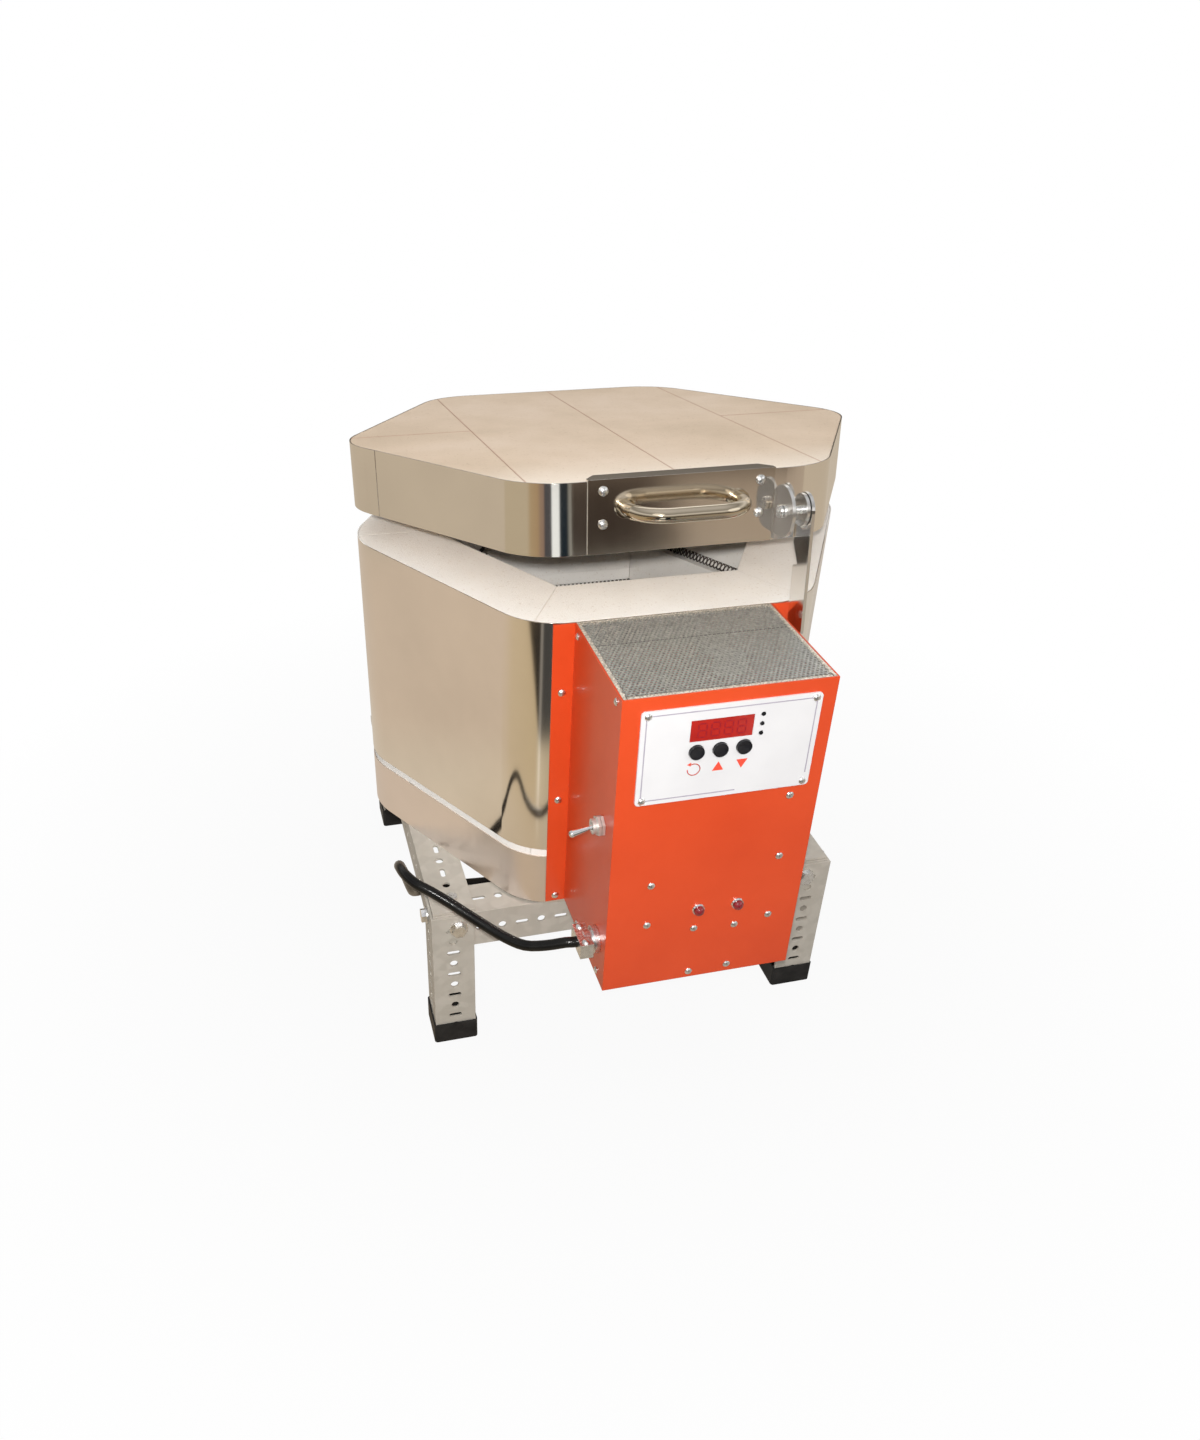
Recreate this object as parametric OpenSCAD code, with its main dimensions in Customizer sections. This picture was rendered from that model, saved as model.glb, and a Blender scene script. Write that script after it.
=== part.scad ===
// Bead annealing kiln: a six-sided firebrick chamber in a steel jacket, a hinged brick lid,
// a controller box on the front and a stand of slotted angle. Millimetres, +Z up, front is -Y.

/* [Kiln body] */
// Length of one side of the six-sided jacket, measured to the unrounded corners
side = 228.6; // [210:0.1:285]
// Rounding of the six upright corners
corner_r = 56; // [40:1:66]
// Thickness of the jacket, lid band and base tray sheet
sheet = 0.8; // [0.5:0.1:1.5]
// Thickness of the firebrick wall
wall = 63.5; // [50:0.5:70]
// Height of the firebrick wall, in two courses
wall_h = 228.6; // [180:0.1:290]
// Thickness of the firebrick floor slab
floor_h = 45.9; // [38:0.1:60]
// Height of the base tray's rim
tray_h = 51.2; // [42:0.1:62]
// Height of bare brick showing between the tray and the jacket
bare_h = 7.5; // [4:0.1:12]
// Open joint between two bricks
brick_gap = 0.4; // [0.3:0.1:1]
// Width of a firebrick in the lid and the floor
brick_w = 114.3; // [90:0.1:130]
// How far behind the middle the end bricks of the lid and floor meet
end_seam = 15; // [-30:1:30]

/* [Lid] */
// Thickness of the lid
lid_h = 53.2; // [44:0.1:66]
// How far the lid is propped open at rest, in degrees
lid_rest = 7.4; // [2:0.1:15]
// Room between the closed lid and the rim
lid_gap = 0.4; // [0.3:0.1:1]
// Width of the handle plate
plate_w = 144; // [125:1:150]
// Spacing of the handle's two posts
handle_span = 88; // [70:1:110]
// Diameter of the handle bar
handle_d = 11; // [8:0.5:13]
// How far the handle's bar stands out from its plate
handle_out = 31; // [26:1:60]
// Height of the handle above the lid's lower edge
handle_z = 33; // [30:1:40]
// Radius of the handle's bends, along the middle of the bar
handle_bend = 26; // [8:1:26]

/* [Hinge and catch] */
// Length of the lid hinge
hinge_l = 150; // [110:1:170]
// Radius of the hinge knuckles
knuckle_r = 4.2; // [3.6:0.1:5]
// Radius of the hinge pin
hinge_pin_r = 2; // [1.6:0.1:2.4]
// Thickness of the hinge leaves
leaf_t = 1.5; // [1:0.1:2]
// Running clearance of a pin in its bore, on the radius
run_fit = 0.08; // [0.04:0.01:0.12]
// Thickness of the catch bracket and of its swinging arm
catch_t = 2.5; // [1.5:0.1:3]
// Radius of the arm's pivot pin
catch_pin_r = 3; // [2:0.1:4]
// How far the arm reaches below its pivot
catch_l = 46; // [30:1:60]

/* [Stand] */
// How far the stand's left and right sides lie inside half the kiln's depth
stand_in_x = 7.5; // [0:0.5:30]
// How far the stand's front and back lie inside the kiln's
stand_in_y = 2.5; // [0:0.5:30]
// Height of the stand, from the bench to the base tray
stand_h = 154.5; // [110:0.5:300]
// How far the stand's middle lies to the left of the kiln's
stand_left = 9; // [0:1:12]
// Width of each flange of the slotted angle
angle_w = 38; // [30:1:45]
// Thickness of the slotted angle
angle_t = 2; // [1.5:0.1:3]
// Spacing of the holes along a rail
rail_pitch = 18; // [16:0.5:25]
// Spacing of the holes along a leg
leg_pitch = 13; // [12:0.5:20]
// Radius of the holes in the angle
hole_r = 3.6; // [3:0.1:4.2]
// Height of a foot cap
cap_h = 22; // [15:1:30]

/* [Controller box] */
// Width of the box
box_w = 160.4; // [150:0.1:190]
// Depth of the box from the jacket to its front panel
box_d = 119.4; // [100:0.1:140]
// Height of the box
box_h = 271; // [255:1:285]
// Width of the box's mounting flanges
flange_w = 16.5; // [14:0.5:18]
// Thickness of the box's steel
box_t = 1.2; // [0.8:0.1:2]
// Width of the white faceplate
face_w = 135; // [130:1:140]
// Height of the white faceplate
face_h = 78.6; // [74:0.1:84]
// Thickness of the faceplate
face_t = 1.6; // [1:0.1:2.5]
// Radius of the push keys
key_r = 5.6; // [4.5:0.1:6.4]
// Spacing of the push keys
key_pitch = 18; // [15:0.1:20]
// Travel of the push keys
key_travel = 1; // [0.5:0.1:1.5]
// Diameter of the perforations in the top grille
mesh_hole = 4.6; // [3:0.1:5.5]
// Spacing of the perforations in the top grille
mesh_pitch = 8; // [7:0.1:10]

/* [Heating element and cord] */
// Number of turns of the element round the chamber
element_turns = 3; // [2:1:3]
// Curls of the element along each wall
curls_per_wall = 4; // [3:1:4]
// Radius of the element's curls, to the middle of the wire
curl_r = 4; // [2:0.1:4.5]
// Radius of the element's wire
wire_r = 1; // [0.6:0.1:1.2]
// Width and depth of the groove that holds the element
groove = 12.7; // [11:0.1:15]
// Diameter of the power cord
cord_d = 9; // [8:0.5:10]

/* [Hidden] */

// Face-to-face room between pieces that are bolted or set together
seat = 0.2;
// Half-width across the flats, from the kiln's axis to each side
flat = side * cos(30);
brick_flat = flat - sheet - seat;
chamber_flat = brick_flat - wall;
tray_z = stand_h;
slab_z = tray_z + sheet + seat;
wall_z = tray_z + floor_h;
rim_z = wall_z + wall_h;
jacket_z = tray_z + tray_h + bare_h;
course_h = wall_h / 2;

// Element grooves lie two thirds down the top course and every half course below
groove_z = [for (i = [0:element_turns - 1]) rim_z - course_h * (2 / 3 + i / 2)];
drop_w = 34;
terminals = [[drop_w / 4, groove_z[0]], [-drop_w / 4, groove_z[element_turns - 1]]];
pin_in_wall_r = 2.4;
sleeve_r = 5.5;
probe_x = 42;
probe_z = rim_z - 38;
probe_r = 3.2;

// Lid hinge axis, behind the jacket and level with the joint under the lid
hinge_y = flat + 0.5 + knuckle_r;
hinge_z = rim_z + lid_gap / 2;
leaf_h = 26;
knuckles = 5;
knuckle_l = hinge_l / knuckles;
knuckle_gap = 0.4;
leaf_screw_r = 2.2;
leaf_screw_h = 1.8;
leaf_screws = 4;

// Kiln's axis along Y, which puts the whole object's middle over the origin
lens_out = 6.5;
front_reach = flat + box_d + lens_out;
lid_screw_y = flat + seat + leaf_t + leaf_screw_h - hinge_y;
lid_screw_z = rim_z + lid_gap + leaf_h / 2 + knuckle_r + leaf_screw_r - hinge_z;
band_top_z = lid_h + rim_z + lid_gap - hinge_z;
back_reach = hinge_y + max(knuckle_r,
    lid_screw_y * cos(lid_rest) + lid_screw_z * sin(lid_rest),
    (flat - hinge_y) * cos(lid_rest) + band_top_z * sin(lid_rest));
kiln_y = (front_reach - back_reach) / 2;

// Outer planes of the stand, in the kiln's own frame
stand_w = 2 * (flat - stand_in_x);
stand_d = 2 * (flat - stand_in_y);
leg_x0 = -stand_w / 2 - stand_left;
leg_x1 = stand_w / 2 - stand_left;
leg_y = stand_d / 2;
rail_x0 = leg_x0 + angle_t + seat;
rail_x1 = leg_x1 - angle_t - seat;
rail_y = leg_y - angle_t - seat;
cap_wall = 1.6;
cap_base = 3;
leg_top = stand_h - 3;
slot_r = 2.2;
slot_l = 12;
bolt_r = 3.3;
bolt_in = 22;
bolt_down = 14;
corner_in = angle_w / 2 + 2;

// Controller box: height of its top, inside faces and panel plane
box_z = rim_z - box_h;
panel_y = -flat - box_d;
face_x = 1.4;
face_top = 10.2;
face_mid_z = rim_z - face_top - face_h / 2;
key_x = [-key_pitch - 5, -5, key_pitch - 5];
key_z = rim_z - 47.5;
key_out = 2.4;
key_fit = 0.25;
display = [-29, 18.4, 39.2, 21.5];
led_x = 24.8;
led_z = [22.3, 30.1, 37.9];
pilot_x = [-5.4, 27.4];
pilot_z = box_z + 73;
bezel_r = 5.4;
lens_r = 4.1;
toggle_y = -flat - 95.3;
toggle_z = rim_z - 121.2;
toggle_rest = -13.7;
bushing_r = 6;
bushing_l = 9;
clamp_y = -flat - 98;
clamp_z = box_z + 38;
clamp_l = 17.5;
// Screws of the panel, flanges and side walls, by their heights over the box's foot
panel_screw_at = [[57, box_h - 98], [57, 115.4], [-46.7, 103.7], [-47.1, 63.9], [-7.1, 53.2],
    [27.6, 50.7], [56, 56], [-7.1, 6.5], [26, 7.8]];
flange_screw_up = [6, 109, 211.8];
side_screw_at = [[9.8, box_h - 7], [box_d - 11.4, box_h - 7], [43, 7], [box_d - 17.4, 7]];

// Catch: swinging arm hooked under the lid's front edge
catch_x = 73;
arm_x = 91;
catch_y = -flat - 14.5;
catch_z = 25;
ear_r = 19;
arm_r = 13;

// Power cord, in the part's frame from the box's clamp to the coil behind the kiln
cord_r = cord_d / 2;
cord_start = [-box_w / 2 - clamp_l + 8, clamp_y + kiln_y, clamp_z];
cord_route = [[-106, -236, 195.5], [-121, -230, 190], [-136, -222, 186], [-149, -211, 187],
    [-162, -199, 191], [-176, -187, 197], [-190, -176, 204], [-203, -168, 211],
    [-214, -160, 215], [-221, -147, 216], [-223, -130, 211], [-221, -112, 198],
    [-217, -96, 180], [-212, -80, 157], [-207, -64, 132], [-202, -48, 113],
    [-190, -38, 105.5], [-170, -34, 103], [-150, -32, 101], [-131, -30, 98],
    [-113, -18, 88], [-101, 2, 71], [-93, 26, 50], [-87, 50, 29], [-82, 74, 12.5],
    [-78, 98, 7], [-74, 124, 6], [-68, 154, 6], [-61, 184, 6], [-52, 216, 6],
    [-42, 248, 6], [-35, 276, 6]];
coil_mid = [51, 325];
coil_r0 = 83;
coil_step = cord_d + 2;
coil_z = cord_r + 1.4;
turns_in = 1;
turns_out = 0.5;
tie_t = 1;
plug_r = 14;

function add(v, i = 0) = i < len(v) ? v[i] + add(v, i + 1) : 0;
function unit(v) = v / norm(v);
// Direction of a route at each of its points
function headings(p) = [for (i = [0:len(p) - 1])
    unit(p[min(i + 1, len(p) - 1)] - p[max(i - 1, 0)])];
// Side vectors carried along a route without twisting
function carried(t, u0) = [for (i = 0, u = unit(u0 - (u0 * t[0]) * t[0]); i < len(t);
    i = i + 1, w = i < len(t) ? u - (u * t[i]) * t[i] : u, u = unit(w)) u];

// Round tube swept along points
module tube(p, r, n, u0) {
    t = headings(p);
    u = carried(t, u0);
    m = len(p);
    points = [for (i = [0:m - 1], k = [0:n - 1])
        p[i] + r * (cos(360 * k / n) * u[i] + sin(360 * k / n) * cross(t[i], u[i]))];
    sides = [for (i = [0:m - 2], k = [0:n - 1], f = [0, 1]) let (a = i * n + k,
        b = i * n + (k + 1) % n) f == 0 ? [a, b + n, b] : [a, a + n, b + n]];
    ends = [[for (k = [0:n - 1]) k], [for (k = [n - 1:-1:0]) (m - 1) * n + k]];
    polyhedron(points, concat(sides, ends));
}

module at_kiln() translate([0, kiln_y, 0]) children();
// Lid pieces are drawn closed, with z = 0 at the lid's lower edge
module at_lid() at_kiln() translate([0, hinge_y, hinge_z]) rotate([-lid_rest, 0, 0])
    translate([0, -hinge_y, lid_gap / 2]) children();

// Six-sided outline with true arcs at its corners, given its half-width across the flats
module hexagon(a, r) {
    c = (a - r) / cos(30);
    for (i = [0:5]) rotate(60 * i) translate([c, 0]) circle(r, $fn = 96);
    polygon([for (i = [0:5], e = [-30, 30])
        [c * cos(60 * i) + r * cos(60 * i + e), c * sin(60 * i) + r * sin(60 * i + e)]]);
}
module sharp_hexagon(a) circle(a / cos(30), $fn = 6);
module shell(a, t, h) linear_extrude(h) difference() {
    hexagon(a, corner_r - flat + a);
    hexagon(a - t, corner_r - flat + a - t);
}
module brick_outline() hexagon(brick_flat, corner_r - flat + brick_flat);

// Bolt or screw along +Z with a round or six-sided head resting on z = 0
module pan_screw(r, h, l) {
    translate([0, 0, -l]) cylinder(r = r * 0.5, h = l + 0.1, $fn = 24);
    intersection() {
        translate([0, 0, h - r * 1.35]) sphere(r * 1.35, $fn = 48);
        cylinder(r = r, h = h, $fn = 32);
    }
}
module hex_bolt(l) {
    translate([0, 0, -l]) cylinder(r = bolt_r, h = l + 1, $fn = 32);
    cylinder(r = 8, h = 1.2, $fn = 32);
    translate([0, 0, 1.1]) cylinder(r = 6.6, h = 4.4, $fn = 6);
    translate([0, 0, -2 * angle_t - seat - 4.9]) cylinder(r = 6.6, h = 4.6, $fn = 6);
}

// Turns a piece drawn with +Z outward so that it points out of the front, left or right
module facing_front() rotate([90, 0, 0]) children();
module facing_left() rotate([0, -90, 0]) children();
module facing_right() rotate([0, 90, 0]) children();

module element_slot(z) translate([0, 0, z - groove / 2]) linear_extrude(groove)
    sharp_hexagon(chamber_flat + groove);
module wall_hole(x, z, r) translate([x, -chamber_flat + 1, z]) facing_front()
    cylinder(r = r, h = wall + groove, $fn = 32);

module wall_course(z0, h) difference() {
    translate([0, 0, z0]) linear_extrude(h) difference() {
        brick_outline();
        sharp_hexagon(chamber_flat);
        for (i = [0:5]) rotate(60 * i) square([3 * side, brick_gap], center = true);
    }
    for (z = groove_z) if (z > z0 && z < z0 + h) element_slot(z);
    translate([-drop_w / 2, -chamber_flat - groove, groove_z[element_turns - 1]])
        cube([drop_w, groove + 1, groove_z[0] - groove_z[element_turns - 1]]);
    for (p = terminals) if (p[1] > z0 && p[1] < z0 + h) wall_hole(p[0], p[1], sleeve_r + seat);
    if (probe_z > z0) wall_hole(probe_x, probe_z, probe_r + seat);
}
module wall_bricks() color("wheat") at_kiln() {
    wall_course(wall_z + seat, course_h - brick_gap);
    wall_course(wall_z + course_h, course_h);
}

module jacket() color("silver") at_kiln() difference() {
    translate([0, 0, jacket_z]) shell(flat, sheet, rim_z - jacket_z);
    for (p = terminals) translate([p[0], -flat + 3, p[1]]) facing_front()
        cylinder(r = sleeve_r + 1, h = 6, $fn = 32);
    flange_screw_holes();
    translate([probe_x, -flat + 3, probe_z]) facing_front()
        cylinder(r = probe_r + 1, h = 6, $fn = 32);
}

// Bricks of the lid or the floor: two long strips and a pair of trimmed bricks at each end
module slab_bricks(h) for (s = [-1, 1]) {
    linear_extrude(h) intersection() {
        brick_outline();
        translate([s * (brick_w / 2 + brick_gap / 4), 0])
            square([brick_w - brick_gap / 2, 3 * side], center = true);
    }
    for (e = [-1, 1]) linear_extrude(h) intersection() {
        brick_outline();
        translate([s * (brick_w + brick_gap / 2 + side), end_seam + e * (side + brick_gap / 2)])
            square([2 * side - brick_gap / 2, 2 * side], center = true);
    }
}
module floor_slab() color("wheat") at_kiln() translate([0, 0, slab_z])
    slab_bricks(wall_z - slab_z);

module base_tray() color("silver") at_kiln() difference() {
    translate([0, 0, tray_z]) tray_sheet();
    flange_screw_holes();
}
module tray_sheet() {
    shell(flat, sheet, tray_h);
    linear_extrude(sheet) hexagon(flat - sheet / 2, corner_r - sheet / 2);
}

// Middle line of the element: round the six walls, then a step down at the front
element_flat = chamber_flat + groove / 2;
function wall_corner(i) = element_flat / cos(30) * [cos(60 * i), sin(60 * i)];
function turn_line(z) = concat([[drop_w / 4, -element_flat, z]],
    [for (i = [-1:4]) [wall_corner(i)[0], wall_corner(i)[1], z]],
    [[-drop_w / 4, -element_flat, z]]);
element_line = [for (z = groove_z) each turn_line(z)];
// The curls rest on the lower face of their groove
element_drop = groove / 2 - curl_r - wire_r - 0.3;
curl_count = element_turns * 6 * curls_per_wall;
rings = 8;
function stretch(p) = [for (i = [1:len(p) - 1]) norm(p[i] - p[i - 1])];
line_steps = stretch(element_line);
line_l = add(line_steps);
function along(s, i = 0) = s <= line_steps[i] || i == len(line_steps) - 1
    ? element_line[i] + (element_line[i + 1] - element_line[i]) * min(1, s / line_steps[i])
    : along(s - line_steps[i], i + 1);
function curled(s) = let (p = along(s) - [0, 0, element_drop], out = unit([p[0], p[1], 0]),
    a = 360 * curl_count * s / line_l,
    fade = min(1, 4 * min(s, line_l - s) * curl_count / line_l)) p
    + fade * curl_r * (cos(a) * out + sin(a) * [0, 0, 1]);
element_points = [for (k = [0:curl_count * rings]) curled(line_l * k / (curl_count * rings))];
module heating_element() color("dimgray") at_kiln() tube(element_points, wire_r, 6, [0, -1, 0]);

module terminal_sleeves() color("white") at_kiln() for (p = terminals)
        translate([p[0], -chamber_flat - groove, p[1]]) facing_front() difference() {
            union() {
                cylinder(r = sleeve_r, h = flat - chamber_flat - groove + 12, $fn = 32);
                translate([0, 0, flat - chamber_flat - groove + 1])
                    cylinder(r = sleeve_r + 3, h = 5, $fn = 32);
            }
            translate([0, 0, -1]) cylinder(r = pin_in_wall_r + seat, h = side, $fn = 32);
        }
// Twisted tails of the element, each ending in a stud with two nuts inside the box
module terminal_pins() color("gainsboro") at_kiln() for (p = terminals)
        translate([p[0], -element_flat - wire_r - 0.6, p[1]]) facing_front() {
            cylinder(r = pin_in_wall_r, h = flat - element_flat + 36, $fn = 24);
            for (n = [0, 1]) translate([0, 0, flat - element_flat + 22 + 6 * n])
                cylinder(r = 5, h = 3.2, $fn = 6);
        }
module thermocouple() color("ivory") at_kiln() translate([probe_x, 0, probe_z]) {
    translate([0, -chamber_flat + 22, 0]) facing_front()
        cylinder(r = probe_r, h = flat - chamber_flat + 36, $fn = 32);
    translate([-11, -flat - 24, -8]) cube([22, 12, 16]);
}

module vent_slot(l) {
    square([l, 5], center = true);
    for (s = [-1, 1]) translate([s * l / 2, 0]) circle(2.5, $fn = 24);
}
// Front panel as drawn from the front, x to the right and y up from the box's foot
module panel_face() difference() {
    translate([-box_w / 2, 0]) square([box_w, box_h]);
    translate([face_x - face_w / 2 + 8, face_mid_z - box_z - face_h / 2 + 8])
        square([face_w - 16, face_h - 16]);
    for (p = face_screws()) translate([p[0], p[1] - box_z]) circle(1.6, $fn = 24);
    for (x = pilot_x) translate([x, pilot_z - box_z]) circle(lens_r + 0.6, $fn = 32);
    for (p = panel_screw_at) translate(p) circle(1.9, $fn = 24);
}
module side_wall(holed) translate([0, -flat, box_z]) rotate([90, 0, -90])
    linear_extrude(box_t) difference() {
        translate([seat, 0]) square([box_d - seat - box_t / 2, box_h]);
        for (p = side_screw_at) translate(p) circle(1.6, $fn = 24);
        if (holed) {
            translate([-flat - toggle_y, toggle_z - box_z]) circle(bushing_r + seat, $fn = 32);
            translate([-flat - clamp_y, clamp_z - box_z]) circle(8.2, $fn = 32);
        }
    }
module flange(s) translate([s * (box_w / 2 + flange_w / 2), -flat - seat, box_z])
    facing_front() linear_extrude(box_t) difference() {
        translate([-flange_w / 2 - box_t / 2, 0]) square([flange_w + box_t, box_h]);
        for (z = flange_screw_up) translate([s * 0.5, z]) circle(1.9, $fn = 24);
    }
module control_box() color("orangered") at_kiln() {
    translate([0, panel_y + box_t, box_z]) facing_front() linear_extrude(box_t) panel_face();
    translate([-box_w / 2 + box_t, 0, 0]) side_wall(true);
    translate([box_w / 2, 0, 0]) side_wall(false);
    for (s = [-1, 1]) flange(s);
    translate([0, -flat - seat - box_d / 2, box_z]) linear_extrude(box_t) difference() {
        square([box_w - box_t, box_d - 2 * seat - box_t], center = true);
        for (x = [-48, -16, 16, 48], y = [-32:16:32]) translate([x, y]) vent_slot(18);
    }
}

// Perforated lid of the box, folded down on both sides
mesh_t = 1;
module grille_holes(nx, ny) for (i = [-nx:nx], j = [-ny:ny])
    translate([(i + (j % 2 == 0 ? 0 : 0.5)) * mesh_pitch, j * mesh_pitch * cos(30)])
        circle(d = mesh_hole, $fn = 24);
module grille_top() color("gray") at_kiln() {
    w = box_w - 2 * box_t - 2 * seat;
    d = box_d - box_t - 3 * seat;
    translate([0, -flat - 2 * seat - d / 2, rim_z - mesh_t]) linear_extrude(mesh_t)
        difference() {
            square([w, d], center = true);
            intersection() {
                grille_holes(floor(w / 2 / mesh_pitch), floor((d / 2 - 4) / mesh_pitch / cos(30)));
                square([w - 8, d - 8], center = true);
            }
        }
    for (s = [-1, 1]) translate([s * (w / 2 - mesh_t / 2), -flat - 2 * seat - d / 2, 0])
        difference() {
            translate([-mesh_t / 2, -d / 2, rim_z - 14]) cube([mesh_t, d, 13.5]);
            for (p = side_screw_at) if (p[1] > box_h - 13)
                translate([-2, d / 2 + 2 * seat - p[0], box_z + p[1]])
                    facing_right() cylinder(r = 1.6, h = 4, $fn = 24);
        }
}

function face_screws() = [for (s = [-1, 1], t = [-1, 1])
    [face_x + s * (face_w / 2 - 4.9), face_mid_z + t * (face_h / 2 - 3.9)]];
module round_rect(w, h, r) {
    square([w, h - 2 * r], center = true);
    square([w - 2 * r, h], center = true);
    for (s = [-1, 1], t = [-1, 1]) translate([s * (w / 2 - r), t * (h / 2 - r)])
        circle(r, $fn = 32);
}
module faceplate() color("white") at_kiln() translate([0, panel_y - seat / 2, 0])
    facing_front() linear_extrude(face_t) difference() {
        translate([face_x, face_mid_z]) round_rect(face_w, face_h, 3);
        translate([display[0], rim_z - display[2]])
            square([display[1] - display[0], display[2] - display[3]]);
        for (x = key_x) translate([x, key_z]) circle(key_r + key_fit, $fn = 48);
        for (d = led_z) translate([led_x, rim_z - d]) circle(1.5 + seat, $fn = 24);
        for (p = face_screws()) translate(p) circle(1.6, $fn = 24);
    }
module display_window() color("darkred") at_kiln()
    translate([(display[0] + display[1]) / 2, panel_y + 6, rim_z - (display[2] + display[3]) / 2])
        facing_front() translate([0, 0, 3.5]) linear_extrude(4)
            square([display[1] - display[0] - 2 * seat, display[2] - display[3] - 2 * seat],
                center = true);
module led_lamps() color("black") at_kiln() for (d = led_z)
    translate([led_x, panel_y + 5, rim_z - d]) facing_front() {
        cylinder(r = 1.5, h = 6.6 + face_t - 1, $fn = 24);
        translate([0, 0, 0]) cylinder(r = 2.2, h = 3, $fn = 24);
    }
// Key cap with a dished face and a collar behind the faceplate
module key(x) color("black") at_kiln() translate([x, panel_y - seat / 2, key_z])
    facing_front() {
        difference() {
            translate([0, 0, -3]) cylinder(r = key_r, h = 3 + face_t + key_out, $fn = 48);
            translate([0, 0, face_t + key_out + 17.4]) sphere(18, $fn = 64);
        }
        translate([0, 0, -3]) cylinder(r = key_r + 0.9, h = 2, $fn = 48);
    }
module key_start() key(key_x[0]);
module key_up() key(key_x[1]);
module key_down() key(key_x[2]);

module pilot_bezels() color("silver") at_kiln() for (x = pilot_x)
    translate([x, panel_y - seat / 2, pilot_z]) facing_front() rotate_extrude($fn = 48)
        polygon([[lens_r + 0.1, -8], [lens_r + 0.5, -8], [lens_r + 0.5, 0], [bezel_r, 0],
            [bezel_r, 1], [lens_r + 0.6, 2.2], [lens_r + 0.1, 2.2]]);
module pilot_lenses() color("darkred") at_kiln() for (x = pilot_x)
    translate([x, panel_y, pilot_z]) facing_front() {
        translate([0, 0, -6]) cylinder(r = lens_r, h = 8.5, $fn = 48);
        translate([0, 0, 2.4]) intersection() {
            cylinder(r = lens_r, h = lens_out - 2.4, $fn = 48);
            translate([0, 0, lens_out - 2.4 - 4.6]) sphere(4.6, $fn = 48);
        }
    }

// Toggle switch through the left wall of the box, its bat lever pointing out
module toggle_body() color("dimgray") at_kiln()
    translate([-box_w / 2 + box_t + 1.8, toggle_y, toggle_z]) {
        translate([0, -8, -14]) cube([18, 16, 28]);
        facing_left() difference() {
            translate([0, 0, -0.5]) cylinder(r = bushing_r, h = bushing_l + 3.5, $fn = 48);
            translate([0, 0, 2]) cylinder(r = 3.9, h = 20, $fn = 48);
        }
        for (y = [-5, 0, 5]) translate([17.5, y - 1.5, -4]) cube([8, 0.8, 8]);
    }
module toggle_nuts() color("silver") at_kiln() translate([0, toggle_y, toggle_z])
    for (x = [-box_w / 2 - seat, -box_w / 2 - 3]) translate([x, 0, 0]) facing_left()
        difference() {
            cylinder(r = 8.4, h = 2.4, $fn = 6);
            translate([0, 0, -1]) cylinder(r = bushing_r + 0.1, h = 6, $fn = 48);
        }
toggle_pivot_x = -box_w / 2 - 5;
module toggle_lever() color("silver") at_kiln()
    translate([toggle_pivot_x, toggle_y, toggle_z]) rotate([0, toggle_rest, 0])
        facing_left() {
            sphere(3.5, $fn = 48);
            rotate_extrude($fn = 48)
                polygon([[0, 0], [1.7, 0], [1.7, 5], [2.9, 19], [2.6, 20.6], [1.6, 21.6], [0, 22]]);
        }

// Two-screw cable clamp in the box's left wall
module cord_clamp() color("silver") at_kiln() translate([-box_w / 2, clamp_y, clamp_z])
    facing_left() {
        difference() {
            union() {
                translate([0, 0, -9]) cylinder(r = 8, h = 9 + clamp_l - 6, $fn = 48);
                translate([0, 0, seat]) cylinder(r = 11.5, h = 4.5, $fn = 48);
                translate([-7, -13.5, 6.5]) cube([14, 27, 11]);
                translate([0, 0, -box_t - seat - 3]) cylinder(r = 11, h = 3, $fn = 6);
            }
            translate([0, 0, -10]) cylinder(r = cord_r + 0.3, h = 40, $fn = 48);
        }
        for (s = [-1, 1]) translate([7, s * 9.5, 12]) rotate([0, 90, 0]) pan_screw(3, 2, 5);
    }

module power_relay() color("dimgray") at_kiln()
    translate([box_w / 2 - box_t - seat - 27, -flat - 62, box_z + 70]) {
        cube([27, 40, 50]);
        for (y = [6, 30]) translate([-5, y, 12]) cube([5.5, 6.4, 0.8]);
        for (y = [6, 30]) translate([-5, y, 36]) cube([5.5, 6.4, 0.8]);
        translate([25, -6, -5]) cube([2, 52, 5.5]);
    }
// Control electronics: board on four posts behind the faceplate, display and parts on it
board_y = panel_y + box_t + 14;
module controller_board() color("darkgreen") at_kiln() {
    translate([face_x - 58, board_y, face_mid_z - 33]) cube([116, 1.6, 66]);
    for (s = [-1, 1], t = [-1, 1]) translate([face_x + s * 52, board_y + 0.5, face_mid_z + t * 27])
        facing_front() cylinder(r = 2.5, h = 14.5, $fn = 24);
    translate([display[0] + 1, panel_y + 2.8, rim_z - display[2] + 0.5])
        cube([display[1] - display[0] - 2, board_y - panel_y - 2.5, display[2] - display[3] - 1]);
    for (x = key_x) translate([x - 3, panel_y + 4.6, key_z - 3])
        cube([6, board_y - panel_y - 4.4, 6]);
    translate([30, board_y + 1.4, face_mid_z - 24]) cube([26, 22, 30]);
    translate([-50, board_y + 1.4, face_mid_z - 28]) cube([34, 10, 9]);
}
module terminal_block() color("ivory") at_kiln()
    translate([-box_w / 2 + box_t + seat, -flat - 60, box_z + 44]) difference() {
        cube([18, 46, 22]);
        for (i = [0:2]) translate([6, 5 + 14 * i, 10]) cube([14, 8, 14]);
    }

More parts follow.
